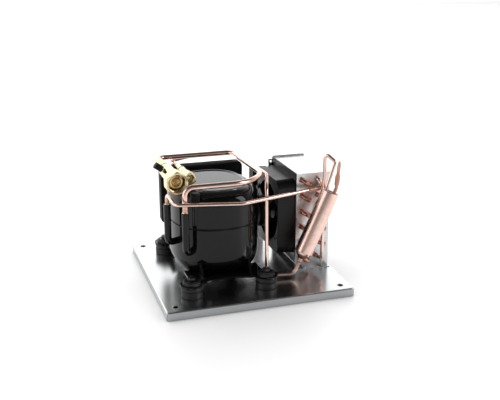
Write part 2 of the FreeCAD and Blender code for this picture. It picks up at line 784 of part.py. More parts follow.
def suction_route():
    """Centre line of the suction tube, from its stub round the dome to the coupling."""
    z = DECK + LOOP_Z
    low = DECK + SUCTION_STUB_TOP - SOCKET_DEPTH
    points = [
        (SUCTION_X, SUCTION_Y, low),
        (SUCTION_X, SUCTION_Y, z),
        (LOOP_RIGHT_X, SUCTION_Y, z),
        (LOOP_RIGHT_X - LOOP_RIGHT_LEAN, LOOP_BACK_Y, z),
        (COUPLING_X, LOOP_BACK_Y, z),
        (COUPLING_X, COUPLING_FRONT + COUPLING_LENGTH - SOCKET_DEPTH, z),
    ]
    return points, [LOOP_FIRST_BEND, LOOP_FRONT_BEND, LOOP_BEND, LOOP_BEND]


def discharge_route():
    """Centre line of the hot gas tube, from its stub along the front to the coil."""
    top = DECK + SHELL_TOP
    points = [
        (DISCHARGE_X, DISCHARGE_Y, DECK + DISCHARGE_STUB_TOP - SOCKET_DEPTH),
        (DISCHARGE_X, DISCHARGE_Y, top - HOT_GAS_TOP_DROP),
        (DISCHARGE_X + HOT_GAS_LEAN, SUCTION_Y - HOT_GAS_FRONT_GAP, top - HOT_GAS_FRONT_DROP),
        tuple(hot_gas_middle()),
        tuple(inlet_mouth()),
    ]
    return points, HOT_GAS_BENDS


def hot_gas_middle():
    """Where the hot gas tube turns towards the coil."""
    x = SHELL_X + HOT_GAS_MIDDLE_RIGHT
    return Vector(x, SUCTION_Y - HOT_GAS_MIDDLE_GAP, DECK + SHELL_TOP - HOT_GAS_MIDDLE_DROP)


def inlet_corner():
    """Lower corner of the coil's inlet riser, in front of the end plate."""
    x, z = coil_tube_places()[0][2]
    return Vector(x + INLET_LEAN, COIL_FRONT - INLET_STANDOFF, z - INLET_RISE)


def inlet_mouth():
    """Bottom of the inlet elbow's socket, in line with the hot gas tube's last run."""
    corner = inlet_corner()
    return corner + (hot_gas_middle() - corner).normalize() * INLET_SOCKET_REACH


def inlet_elbow():
    """Brazed elbow from the hot gas tube up into the coil's first tube."""
    mouth = inlet_mouth()
    corner = inlet_corner()
    inward = (corner - mouth).normalize()
    end = mouth - inward * SOCKET_DEPTH
    x, z = coil_tube_places()[0][2]
    points = [tuple(end), tuple(corner), (x, corner.y, z), (x, COIL_FRONT, z)]
    elbow = bent_bar(points, [INLET_BEND, INLET_BEND], LIQUID_TUBE + 2 * SOCKET_WALL)
    return elbow.cut(rod(LIQUID_TUBE / 2 + FIT, end, inward, SOCKET_DEPTH))


def drier_point(along, across=0.0):
    """Point on the drier, measured along its tilted axis from the lower neck."""
    tilt = math.radians(DRIER_TILT)
    x = DRIER_X + along * math.sin(tilt) + across * math.cos(tilt)
    z = DECK + DRIER_Z + along * math.cos(tilt) - across * math.sin(tilt)
    return Vector(x, DRIER_Y, z)


def drier_axis():
    """Direction of the drier from its lower neck to its top."""
    tilt = math.radians(DRIER_TILT)
    return Vector(math.sin(tilt), 0, math.cos(tilt))


def liquid_route():
    """Centre line of the liquid tube: drier, deck, riser, outside of the loop, coupling."""
    z = DECK + LIQUID_LOW_Z
    side = (SUCTION_TUBE + LIQUID_TUBE) / 2 + LINE_GAP
    across = math.sqrt(side * side - LIQUID_DROP * LIQUID_DROP)
    loop = DECK + LOOP_Z - LIQUID_DROP
    right = LOOP_RIGHT_X + across
    back = LOOP_BACK_Y + across
    end = DECK + LOOP_Z - LIQUID_COUPLING_LOWER
    neck = LIQUID_COUPLING_FRONT + LIQUID_LENGTH
    start = drier_point(SOCKET_DEPTH)
    fall = (start.z - z) / math.cos(math.radians(DRIER_TILT))
    low = start - drier_axis() * fall
    points = [
        (start.x, start.y, start.z),
        (low.x, low.y, z),
        (RISER_X, RISER_Y - RISER_LEAN, z),
        (RISER_X, RISER_Y, DECK + RISER_TOP),
        (right + RISER_BEND_OUT, SUCTION_Y + RISER_BEND_SETBACK, loop),
        (right - LOOP_RIGHT_LEAN, back, loop),
        (LIQUID_COUPLING_X + LIQUID_DIP_LEAD, back, loop),
        (LIQUID_COUPLING_X, back, loop - LIQUID_DIP),
        (LIQUID_COUPLING_X, neck + LIQUID_DIP_TAIL, end),
        (LIQUID_COUPLING_X, neck - SOCKET_DEPTH, end),
    ]
    return points, LIQUID_BENDS


def outlet_route():
    """Centre line of the tube from the coil's outlet over the hairpin into the drier's top."""
    top = drier_point(DRIER_LENGTH)
    start = drier_point(DRIER_LENGTH - DRIER_CAP_DEPTH, -DRIER_INLET_OFFSET)
    leg_x = top.x - HAIRPIN_SETBACK
    leg_y = DRIER_Y + DRIER_RADIUS + LIQUID_TUBE / 2 + LINE_GAP
    x, z = coil_tube_places()[-1][2]
    points = [
        (start.x, start.y, start.z),
        (leg_x + HAIRPIN_REACH, DRIER_Y + HAIRPIN_FORWARD, top.z + HAIRPIN_SHOULDER_RISE),
        (leg_x, leg_y, top.z + HAIRPIN_RISE),
        (x + HAIRPIN_FOOT_LEAN, leg_y, z),
        (x, COIL_FRONT - OUTLET_STANDOFF, z),
        (x, COIL_FRONT, z),
    ]
    return points, [HAIRPIN_BEND, HAIRPIN_BEND, HAIRPIN_BEND, OUTLET_BEND]


def drier():
    """Copper shell of the drier, spun to a cone at its lower end, with a cap set into its top rim."""
    r = DRIER_RADIUS
    inner = r - DRIER_WALL
    length = DRIER_LENGTH
    neck = DRIER_NECK_RADIUS
    bore = LIQUID_TUBE / 2 + FIT
    full = DRIER_CONE + DRIER_SHOULDER
    seat = length - DRIER_RIM
    under = seat - DRIER_CAP_SHEET
    outline = [
        (bore, 0), (neck, 0), (neck, DRIER_NECK_LENGTH), (inner, DRIER_CONE), (r, full),
        (r, length - DRIER_WALL), (inner, length), (inner - DRIER_WALL, seat), (0, seat), (0, under),
        (inner - DRIER_WALL, under), (inner, under - DRIER_WALL), (inner, full),
        (bore, DRIER_NECK_LENGTH * 2),
    ]
    solid = turned(outline, drier_point(0), drier_axis())
    points = outlet_route()[0]
    inlet = (Vector(*points[1]) - Vector(*points[0])).normalize()
    for across, heading in ((-DRIER_INLET_OFFSET, inlet), (DRIER_PROCESS_OFFSET, drier_axis())):
        mouth = drier_point(length - DRIER_CAP_DEPTH, across) - heading * DRIER_CAP_DEPTH
        solid = solid.cut(rod(bore, mouth, heading, DRIER_CONE))
    return solid


def drier_core():
    """Moulded desiccant block held inside the drier."""
    r = DRIER_RADIUS - DRIER_WALL - CORE_GAP
    low = CORE_LOW
    high = DRIER_LENGTH - CORE_END_GAP
    edge = CORE_EDGE
    outline = [(0, low), (r - edge, low), (r, low + edge), (r, high - edge), (r - edge, high), (0, high)]
    return turned(outline, drier_point(0), drier_axis())


def drier_process_tube():
    """Charging tube beside the inlet: leaves along the drier, turns upright and is pinched shut."""
    start = drier_point(DRIER_LENGTH - DRIER_CAP_DEPTH, DRIER_PROCESS_OFFSET)
    knee = drier_point(DRIER_LENGTH + PROCESS_KNEE, DRIER_PROCESS_OFFSET)
    top = drier_point(DRIER_LENGTH)
    end = Vector(knee.x + PROCESS_LEAN, DRIER_Y, top.z + PROCESS_RISE)
    tube = bent_tube([tuple(start), tuple(knee), tuple(end)], [PROCESS_BEND], LIQUID_TUBE)
    up = (end - knee).normalize()
    outer = LIQUID_TUBE / 2 + PROCESS_SLEEVE_WALL
    low = knee + up * PROCESS_BEND / 2
    sleeve = ring(outer, LIQUID_TUBE / 2 - TUBE_WALL, low, up, PROCESS_SLEEVE_LENGTH)
    pinch = Part.makeLoft([
        Part.Wire(Part.makeCircle(LIQUID_TUBE / 2, end, up)),
        flat_oval(end + up * PINCH_LENGTH, up),
    ], True)
    return tube.fuse([sleeve, pinch])


def flat_oval(centre, axis):
    """Flattened tube end: a long narrow oval across the axis."""
    across = AXIS_Y
    thin = axis.cross(across).normalize()
    major = centre + across * (LIQUID_TUBE / 2)
    minor = centre + thin * PINCH_HALF
    return Part.Wire(Part.Ellipse(major, minor, centre).toShape())


def box_screw_places():
    """Places of the four cover screws, in the middle of the box's posts."""
    edge = EBOX_WALL + EBOX_POST + EBOX_POST_GAP
    low = DECK + EBOX_BOTTOM + edge
    high = DECK + EBOX_TOP - edge
    return [(x, z) for x in (EBOX_LEFT + edge, EBOX_RIGHT - edge) for z in (low, high)]


def electrical_box():
    """Base tray with its posts, and the deep cover of the box at the compressor's back."""
    low = DECK + EBOX_BOTTOM
    high = DECK + EBOX_TOP
    w = EBOX_WALL
    base = block(EBOX_LEFT, EBOX_RIGHT, EBOX_FRONT, EBOX_SPLIT, low, high)
    base = base.makeFillet(EBOX_ROUND, along(base, "Y"))
    base = base.makeFillet(EBOX_FRONT_EDGE, [e for e in base.Edges if e.BoundBox.YMax < EBOX_FRONT + FIT])
    inside = block(EBOX_LEFT + w, EBOX_RIGHT - w, EBOX_FRONT + w, EBOX_BACK - w, low + w, high - w)
    inside = inside.makeFillet(EBOX_ROUND - w, along(inside, "Y"))
    base = base.cut(inside)
    cover = block(EBOX_LEFT, EBOX_RIGHT, EBOX_SPLIT, EBOX_BACK, low, high)
    cover = cover.makeFillet(EBOX_ROUND, along(cover, "Y"))
    rear = [e for e in cover.Edges if e.BoundBox.YMin > EBOX_BACK - FIT]
    cover = cover.makeFillet(EBOX_BACK_EDGE, rear).cut(inside)
    length = EBOX_BACK - w - EBOX_FRONT - w
    hole = SCREW_RADIUS + FIT
    for x, z in box_screw_places():
        base = base.fuse(rod(EBOX_POST, Vector(x, EBOX_FRONT + w, z), AXIS_Y, length))
        base = base.cut(rod(hole, Vector(x, EBOX_BACK - BOX_SCREW_HOLE, z), AXIS_Y, BOX_SCREW_HOLE))
        cover = cover.cut(rod(hole, Vector(x, EBOX_BACK - w - PAST, z), AXIS_Y, w + 2 * PAST))
    z = DECK + TERMINAL_Z
    base = base.cut(block(SHELL_X - WIRE_HOLE_HALF_X, SHELL_X + WIRE_HOLE_HALF_X, EBOX_FRONT, EBOX_FRONT + w,
                          z - WIRE_HOLE_HALF_Z, z + WIRE_HOLE_HALF_Z))
    return base, cover.cut(rod(GLAND_RADIUS + FIT, gland_place(), AXIS_Z, w))


def gland_place():
    """Middle of the inlet gland, on the box's underside."""
    return Vector(EBOX_RIGHT - GLAND_INSET, (EBOX_SPLIT + EBOX_BACK - EBOX_WALL) / 2, DECK + EBOX_BOTTOM)


def box_fittings():
    """Cover screws, inlet gland and the starting relay clipped over the terminals."""
    screws = []
    across = 2 * SCREW_HEAD_RADIUS * math.cos(math.pi / 6)
    for x, z in box_screw_places():
        head = hexagon_bar(across, Vector(x, EBOX_BACK, z), AXIS_Y, SCREW_HEAD_HEIGHT)
        shank = rod(SCREW_RADIUS, Vector(x, EBOX_BACK - BOX_SCREW_LENGTH, z), AXIS_Y, BOX_SCREW_LENGTH)
        screws.append(head.fuse(shank))
    r = GLAND_RADIUS
    skirt = r + GLAND_SKIRT
    lip = r + GLAND_LIP
    inner = r - GLAND_WALL
    outline = [
        (inner, -GLAND_LENGTH), (r, -GLAND_LENGTH), (skirt, -GLAND_SKIRT), (skirt, 0), (r, 0), (r, EBOX_WALL),
        (lip, EBOX_WALL), (lip, EBOX_WALL + GLAND_SKIRT), (inner, EBOX_WALL + GLAND_SKIRT),
    ]
    gland = turned(outline, gland_place())
    seat = EBOX_FRONT + EBOX_WALL
    z = DECK + TERMINAL_Z
    relay = block(SHELL_X - RELAY_HALF_X, SHELL_X + RELAY_HALF_X, seat, seat + RELAY_DEPTH,
                  z - RELAY_HALF_Z, z + RELAY_HALF_Z)
    relay = relay.makeFillet(RELAY_ROUND, along(relay, "Y"))
    return screws, gland, relay


def terminal_pins(shell):
    """Three pins in glass beads on the shell wall, inside the fence."""
    pins = []
    y = SHELL_Y + SHELL_HALF_Y - PIN_ROOT
    reach = EBOX_FRONT + PIN_CLEARANCE - y
    for x, z in ((-PIN_PITCH_X, -PIN_LOWER), (PIN_PITCH_X, -PIN_LOWER), (0, PIN_UPPER)):
        start = Vector(SHELL_X + x, y, DECK + TERMINAL_Z + z)
        bead = rod(BEAD_RADIUS, start, AXIS_Y, BEAD_LENGTH)
        pin = bead.fuse(rod(PIN_RADIUS, start, AXIS_Y, reach)).cut(shell)
        pins.append(max(pin.Solids, key=lambda s: s.CenterOfMass.y))
    return pins


def terminal_fence(shell):
    """Welded frame round the terminals, between the shell and the electrical box."""
    z = DECK + TERMINAL_Z
    root = SHELL_Y + SHELL_HALF_Y - FENCE_ROOT

    def frame(inset):
        x = FENCE_HALF_X - inset
        h = FENCE_HALF_Z - inset
        return block(SHELL_X - x, SHELL_X + x, root, EBOX_FRONT, z - h, z + h)

    return frame(0).cut(frame(FENCE_SHEET)).cut(shell)


def coil_tube_places():
    """Centres of the coil's tubes: four columns, six rows, every second column dropped."""
    places = []
    for row in range(COIL_ROWS):
        line = []
        for column in range(4):
            x = COIL_LEFT + COIL_FIRST_COLUMN + column * COIL_COLUMN_PITCH
            z = DECK + COIL_TOP - COIL_FIRST_ROW - row * COIL_ROW_PITCH
            if column % 2:
                z -= COIL_STAGGER
            line.append((x, z))
        places.append(line)
    return places


def in_circuit(row, column):
    """The last column is left out of the first and last rows, where the gas enters and leaves."""
    return column < 3 or 0 < row < COIL_ROWS - 1


def return_bend(a, b, y, side):
    """U-shaped bend between two tube ends on one face of the coil."""
    (xa, za), (xb, zb) = a, b
    radius = math.hypot(xb - xa, zb - za) / 2 - FIT
    out = y + side * (radius + COIL_BEND_RUN)
    points = [(xa, y, za), (xa, out, za), (xb, out, zb), (xb, y, zb)]
    return bent_bar(points, [radius, radius], COIL_TUBE)


def coil_tubes():
    """Straight tubes through the fins, and the bends on both faces."""
    places = coil_tube_places()
    y0 = COIL_FRONT
    y1 = COIL_BACK + COIL_SHEET
    straight = []
    front = []
    rear = []
    for k, line in enumerate(places):
        for column, (x, z) in enumerate(line):
            if in_circuit(k, column):
                straight.append(rod(COIL_TUBE / 2, Vector(x, y0, z), AXIS_Y, y1 - y0))
        front.append(return_bend(line[0], line[1], y0, -1))
        if in_circuit(k, 3):
            front.append(return_bend(line[2], line[3], y0, -1))
        rear.append(return_bend(line[1], line[2], y1, 1))
    for k in range(0, len(places) - 1, 2):
        rear.append(return_bend(places[k][0], places[k + 1][0], y1, 1))
    for k in range(1, len(places) - 1, 2):
        rear.append(return_bend(places[k][3], places[k + 1][3], y1, 1))
    return straight, front, rear


def fins():
    """Thin plates across the tubes."""
    first = COIL_FRONT + COIL_SHEET + FIN_PITCH / 2
    last = COIL_BACK - FIN_PITCH / 2
    count = int((last - first) / FIN_PITCH) + 1
    low = DECK + COIL_BOTTOM + COIL_SHEET + FIN_TOP_GAP
    high = DECK + COIL_TOP - COIL_SHEET - FIN_TOP_GAP
    left = COIL_LEFT + FIN_INSET
    right = COIL_RIGHT - FIN_INSET
    plates = []
    for k in range(count):
        y = first + k * FIN_PITCH
        plates.append(block(left, right, y, y + FIN_SHEET, low, high))
    return plates


def end_plate(y, side, top):
    """Sheet across the tube ends, folded into a foot at the deck."""
    inner = y + COIL_SHEET if side < 0 else y
    foot_y = inner + side * (COIL_SHEET + FOOT_FLANGE)
    sheet = block(COIL_LEFT, COIL_RIGHT, y, y + COIL_SHEET, DECK, top)
    foot = block(COIL_LEFT, COIL_RIGHT, min(inner, foot_y), max(inner, foot_y), DECK, DECK + COIL_SHEET)
    plate = sheet.fuse(foot)
    hole = COIL_TUBE / 2 + COIL_TUBE_CLEARANCE
    for row, line in enumerate(coil_tube_places()):
        for column, (x, z) in enumerate(line):
            if in_circuit(row, column):
                plate = plate.cut(rod(hole, Vector(x, y, z), AXIS_Y, COIL_SHEET))
    for x, hole_y in coil_foot_holes():
        plate = plate.cut(rod(SCREW_RADIUS + FIT, Vector(x, hole_y, DECK), AXIS_Z, COIL_SHEET))
    return plate.removeSplitter()


def rear_plate():
    """Taller end plate at the back, with an ear beside the shroud that the coil is lifted by."""
    top = DECK + COIL_TOP + COIL_REAR_RISE
    plate = end_plate(COIL_BACK, 1, top)
    high = top - EAR_BELOW_TOP
    left = COIL_LEFT - EAR_WIDTH
    ear = block(left, COIL_LEFT, COIL_BACK, COIL_BACK + COIL_SHEET, high - EAR_HEIGHT, high)
    hole = Vector(left + EAR_WIDTH / 2, COIL_BACK, high - EAR_WIDTH / 2)
    return plate.fuse(ear).cut(rod(EAR_HOLE_RADIUS, hole, AXIS_Y, COIL_SHEET)).removeSplitter()


def shroud():
    """Deep-drawn fan shroud: flange on the coil, drafted box, round orifice with a turned-in lip."""
    s = SHROUD_SHEET
    y0 = COIL_FRONT
    y1 = COIL_BACK - FIT
    z0 = DECK + SHROUD_BOTTOM
    z1 = DECK + COIL_TOP + SHROUD_RISE
    flange = block(SHROUD_RIGHT - s, SHROUD_RIGHT, y0, y1, z0, z1)

    def section(x, inset, corner):
        return rounded_rectangle(x, y0 + inset, y1 - inset, z0 + inset, z1 - inset - SHROUD_TOP_STEP, corner)

    wide = SHROUD_INSET
    tight = SHROUD_INSET + SHROUD_DRAFT
    left = SHROUD_LEFT
    outer = Part.makeLoft([
        section(SHROUD_RIGHT, wide, SHROUD_CORNER),
        section(left, tight, SHROUD_CORNER),
    ], True, True)
    inner = Part.makeLoft([
        section(SHROUD_RIGHT, wide + s, SHROUD_CORNER - s),
        section(left + s, tight + s, SHROUD_CORNER - s),
    ], True, True)
    box = outer.fuse(flange).cut(inner)
    centre = Vector(left, FAN_Y, DECK + FAN_Z)
    box = box.cut(rod(ORIFICE_RADIUS, centre, AXIS_X, s))
    lip = ring(ORIFICE_RADIUS + s, ORIFICE_RADIUS, centre, AXIS_X, ORIFICE_LIP)
    return box.fuse(lip).removeSplitter()


def fan_blade():
    """Pressed fan: a hub and five blades whose pitch eases towards the tips."""
    x = SHROUD_LEFT + FAN_SETBACK
    hub = ring(FAN_HUB_RADIUS, MOTOR_SHAFT_RADIUS, Vector(x - FAN_HUB_LEAD, 0, 0), AXIS_X, FAN_HUB_LENGTH)
    radii = [FAN_HUB_RADIUS - FAN_BLADE_SINK, FAN_MIDDLE_RADIUS, FAN_RADIUS]
    sections = []
    for radius, chord, pitch in zip(radii, FAN_CHORDS, FAN_PITCHES):
        a = math.radians(pitch)
        along_chord = Vector(math.sin(a), math.cos(a), 0) * (chord / 2)
        through = Vector(math.cos(a), -math.sin(a), 0) * (FAN_BLADE_SHEET / 2)
        middle = Vector(x, 0, radius)
        corners = [
            middle - along_chord - through,
            middle + along_chord - through,
            middle + along_chord + through,
            middle - along_chord + through,
        ]
        sections.append(Part.makePolygon(corners + corners[:1]))
    reach = FAN_CHORDS[-1]
    tip = rod(FAN_RADIUS, Vector(x - reach / 2, 0, 0), AXIS_X, reach)
    bore = rod(MOTOR_SHAFT_RADIUS, Vector(x - reach / 2, 0, 0), AXIS_X, reach)
    blades = []
    for k in range(FAN_BLADES):
        blade = Part.makeLoft(sections, True, True)
        blade.rotate(Vector(x, 0, 0), AXIS_X, 360 / FAN_BLADES * k)
        blades.append(blade.common(tip))
    fan = hub.fuse(blades).cut(bore)
    fan.translate(Vector(0, FAN_Y, DECK + FAN_Z))
    return fan


def fan_motor():
    """Housing with a cooling groove, its shaft, and the three-armed spider that carries it."""
    right = SHROUD_LEFT - SPIDER_SHEET
    centre = Vector(right, FAN_Y, DECK + FAN_Z)
    r = MOTOR_RADIUS
    d = MOTOR_DEPTH
    step = MOTOR_STEP
    groove = MOTOR_GROOVE
    bore = MOTOR_SHAFT_RADIUS + FIT
    outline = [
        (bore, 0), (r - 2 * step, 0), (r - step, groove), (r - step, step), (r, MOTOR_CHAMFER),
        (r, d / 2 - 2 * groove), (r - groove, d / 2 - groove), (r - groove, d / 2 + groove),
        (r, d / 2 + 2 * groove), (r, d - MOTOR_CHAMFER - groove), (r - MOTOR_CHAMFER, d - groove),
        (MOTOR_BOSS_RADIUS, d - groove), (MOTOR_BOSS_RADIUS, d), (0, d), (0, d - MOTOR_END_GAP),
        (bore, d - MOTOR_END_GAP),
    ]
    housing = turned(outline, centre, Vector(-1, 0, 0))
    inside = d - MOTOR_END_GAP - MOTOR_END_PLAY
    shaft = rod(MOTOR_SHAFT_RADIUS, centre - AXIS_X * inside, AXIS_X, inside + MOTOR_SHAFT_OUT)
    return housing, shaft, motor_spider(centre)


def motor_spider(centre):
    """Three pressed arms from the motor's back to rivets on the shroud's face."""
    spider = rod(SPIDER_HUB_RADIUS, centre, AXIS_X, SPIDER_SHEET)
    for k in range(3):
        arm = block(centre.x, centre.x + SPIDER_SHEET, FAN_Y - SPIDER_ARM / 2, FAN_Y + SPIDER_ARM / 2,
                    centre.z, centre.z + SPIDER_REACH)
        arm.rotate(centre, AXIS_X, 60 + 120 * k)
        spider = spider.fuse(arm)
    spider = spider.common(block(centre.x, centre.x + SPIDER_SHEET, COIL_FRONT + SPIDER_MARGIN,
                                 COIL_BACK - SPIDER_MARGIN, DECK + SHROUD_BOTTOM + SPIDER_MARGIN,
                                 DECK + COIL_TOP - SPIDER_MARGIN))
    spider = spider.cut(rod(MOTOR_SHAFT_RADIUS + 1, centre, AXIS_X, SPIDER_SHEET)).removeSplitter()
    for k in range(3):
        angle = math.radians(60 + 120 * k)
        out = Vector(0, -math.sin(angle), math.cos(angle)) * RIVET_CIRCLE
        spider = spider.fuse(rod(RIVET_RADIUS, centre + out - AXIS_X * RIVET_HEIGHT, AXIS_X, RIVET_HEIGHT))
    return spider


def control_box():
    """Small closed box behind the coil, and the bracket it stands on."""
    low = DECK + CBOX_BOTTOM
    high = DECK + CBOX_TOP
    w = CBOX_WALL
    base = block(CBOX_LEFT, CBOX_RIGHT, CBOX_SPLIT, CBOX_BACK, low, high)
    base = base.makeFillet(CBOX_ROUND, along(base, "Y"))
    base = base.cut(block(CBOX_LEFT + w, CBOX_RIGHT - w, CBOX_SPLIT, CBOX_BACK - w, low + w, high - w))
    lid = block(CBOX_LEFT, CBOX_RIGHT, CBOX_FRONT, CBOX_SPLIT, low, high)
    lid = lid.makeFillet(CBOX_ROUND, along(lid, "Y"))
    lid = lid.makeFillet(CBOX_FRONT_EDGE, [e for e in lid.Edges if e.BoundBox.YMax < CBOX_FRONT + FIT])
    lid = lid.cut(block(CBOX_LEFT + w, CBOX_RIGHT - w, CBOX_FRONT + w, CBOX_SPLIT, low + w, high - w))
    left = CBOX_LEFT + BRACKET_INSET
    right = CBOX_RIGHT - BRACKET_INSET
    sheet = COIL_SHEET
    upright = block(left, right, CBOX_BACK, CBOX_BACK + sheet, DECK, high - BRACKET_TOP_GAP)
    foot = block(left, right, CBOX_BACK, CBOX_BACK + BRACKET_FOOT, DECK, DECK + sheet)
    bracket = upright.fuse(foot)
    for x, y in bracket_holes():
        bracket = bracket.cut(rod(SCREW_RADIUS + FIT, Vector(x, y, DECK), AXIS_Z, sheet))
    return base, lid, bracket.removeSplitter()


def coupling(x, z, front, nut_flats, nut_length, bore, body_radius, body_length, neck_radius, length, tube):
    """Self-sealing coupling half: body, swivelling nut, sprung poppet and its spring."""
    body_front = front + nut_length * MATE_DEPTH_SHARE
    body_back = front + body_length
    neck_back = front + length
    shoulder = front + nut_length
    pocket = body_front + VALVE_POCKET
    valve = body_radius * VALVE_SHARE
    guide = valve + FIT
    origin = Vector(x, 0, z)
    body = turned([
        (guide, body_front), (body_radius - 1.5, body_front), (body_radius - 1.0, body_front + 1),
        (body_radius - 1.0, shoulder - COLLAR_GAP), (body_radius + 0.9, shoulder - COLLAR_GAP),
        (body_radius + 0.9, shoulder - 1.8),
        (body_radius, shoulder - 0.9), (body_radius, body_back - 8), (body_radius - 1.4, body_back - 7),
        (body_radius - 1.4, body_back - 5), (body_radius, body_back - 4), (body_radius, body_back - 1),
        (neck_radius + 1.5, body_back + 1), (neck_radius, body_back + 3), (neck_radius, neck_back),
        (tube / 2 + FIT, neck_back), (tube / 2 + FIT, neck_back - SOCKET_DEPTH),
        (tube / 2 - TUBE_WALL, neck_back - SOCKET_DEPTH), (tube / 2 - TUBE_WALL, pocket), (guide, pocket),
    ], origin, AXIS_Y)
    nut = hexagon_bar(nut_flats, Vector(x, front, z), AXIS_Y, nut_length, 30.0)
    collar = shoulder - COLLAR_GAP - front
    void = turned([
        (0, -1), (bore, -1), (bore, body_front - front - 0.5), (bore - 0.3, body_front - front - 0.5),
        (bore - 0.3, collar + 3), (body_radius + 0.4, collar + 4), (body_radius + 0.4, nut_length + 1),
        (0, nut_length + 1),
    ], Vector(x, front, z), AXIS_Y)
    nut = nut.cut(void)
    stem = valve * 0.35
    tail = pocket - POPPET_TRAVEL - 3
    poppet = turned([
        (0, body_front + 0.6), (valve - 1, body_front + 0.6), (valve, body_front + 1.6),
        (valve, body_front + 7), (stem, body_front + 8), (stem, tail), (0, tail),
    ], origin, AXIS_Y)
    coil_start = body_front + 8.3
    spring = ring(valve * 0.8, valve * 0.5, Vector(x, coil_start, z), AXIS_Y, pocket - coil_start)
    return body, nut, poppet, spring


def service_port(x, z, y):
    """Charging port that stands on the suction coupling, and its ribbed cap."""
    tilt = math.radians(PORT_TILT)
    axis = Vector(-math.cos(tilt), 0, math.sin(tilt))
    root = Vector(x, y, z)
    foot = root + axis * (COUPLING_BODY_RADIUS - PORT_STEM_ROOT)
    stem = rod(PORT_STEM_RADIUS, foot, axis, PORT_STEM_LENGTH)
    seat = root + axis * (COUPLING_BODY_RADIUS + PORT_STEM_ROOT)
    r = PORT_CAP_RADIUS
    cap = rod(r, seat, axis, PORT_CAP_LENGTH)
    cap = cap.cut(rod(PORT_STEM_RADIUS + FIT, seat, axis, PORT_CAP_BORE))
    grooves = []
    for k in range(PORT_RIBS):
        side = Rotation(axis, 360 / PORT_RIBS * k).multVec(AXIS_Y)
        start = seat + side * (r + PORT_RIB_RADIUS / 3) + axis * 2 * PORT_RIB_RADIUS
        grooves.append(rod(PORT_RIB_RADIUS, start, axis, PORT_CAP_LENGTH - 4 * PORT_RIB_RADIUS))
    return stem, cap.cut(grooves)


def process_port(shell):
    """Charging stub on the shell's shoulder with its ribbed cap."""
    r = PROCESS_CAP_RADIUS
    h = PROCESS_CAP_LENGTH
    bore = PROCESS_STEM_RADIUS + FIT
    place = Vector(PROCESS_X, PROCESS_Y, DECK + PROCESS_CAP_TOP - h)
    stem_length = PROCESS_STEM_DEPTH + PROCESS_CAP_BORE - SPRING_GAP
    stem = rod(PROCESS_STEM_RADIUS, place - AXIS_Z * PROCESS_STEM_DEPTH, AXIS_Z, stem_length).cut(shell)
    stem = max(stem.Solids, key=lambda s: s.CenterOfMass.z)
    outline = [
        (0, h), (r - 2.5, h), (r - 1, h - 1), (r, h - 3), (r, 0), (bore, 0), (bore, PROCESS_CAP_BORE),
        (0, PROCESS_CAP_BORE),
    ]
    cap = turned(outline, place)
    grooves = []
    for k in range(CAP_RIBS):
        a = 2 * math.pi * k / CAP_RIBS
        out = Vector(math.cos(a), math.sin(a), 0) * (r + CAP_RIB_RADIUS / 4)
        grooves.append(rod(CAP_RIB_RADIUS, place + out + AXIS_Z, AXIS_Z, CAP_RIB_LENGTH))
    return stem, cap.cut(grooves).cut(shell)


def motor_parts():
    """Stator with its windings, rotor and crankshaft inside the shell."""
    low = DECK + STATOR_LOW
    foot = Vector(SHELL_X, SHELL_Y, low)
    h = STATOR_HALF
    stator = block(foot.x - h, foot.x + h, foot.y - h, foot.y + h, low, low + STATOR_HEIGHT)
    stator = stator.makeFillet(STATOR_CORNER, along(stator, "Z"))
    base = foot - AXIS_Z * WINDING_OUT
    height = STATOR_HEIGHT + 2 * WINDING_OUT
    windings = ring(WINDING_OUTER, WINDING_INNER, base, AXIS_Z, height)
    stator = stator.fuse(windings).cut(rod(STATOR_BORE, base, AXIS_Z, height))
    rotor = ring(ROTOR_RADIUS, CRANK_RADIUS, foot, AXIS_Z, STATOR_HEIGHT)
    web = Vector(foot.x, foot.y, DECK + BLOCK_LOW + CRANK_WEB_RISE)
    pin = web + AXIS_Z * CRANK_WEB + AXIS_X * CRANK_THROW
    shaft = rod(CRANK_RADIUS, foot - AXIS_Z * CRANK_FOOT, AXIS_Z, web.z - low + CRANK_FOOT)
    shaft = shaft.fuse(rod(CRANK_WEB_RADIUS, web, AXIS_Z, CRANK_WEB))
    shaft = shaft.fuse(rod(CRANK_PIN_RADIUS, pin, AXIS_Z, CRANK_PIN_LENGTH))
    return stator, rotor, shaft


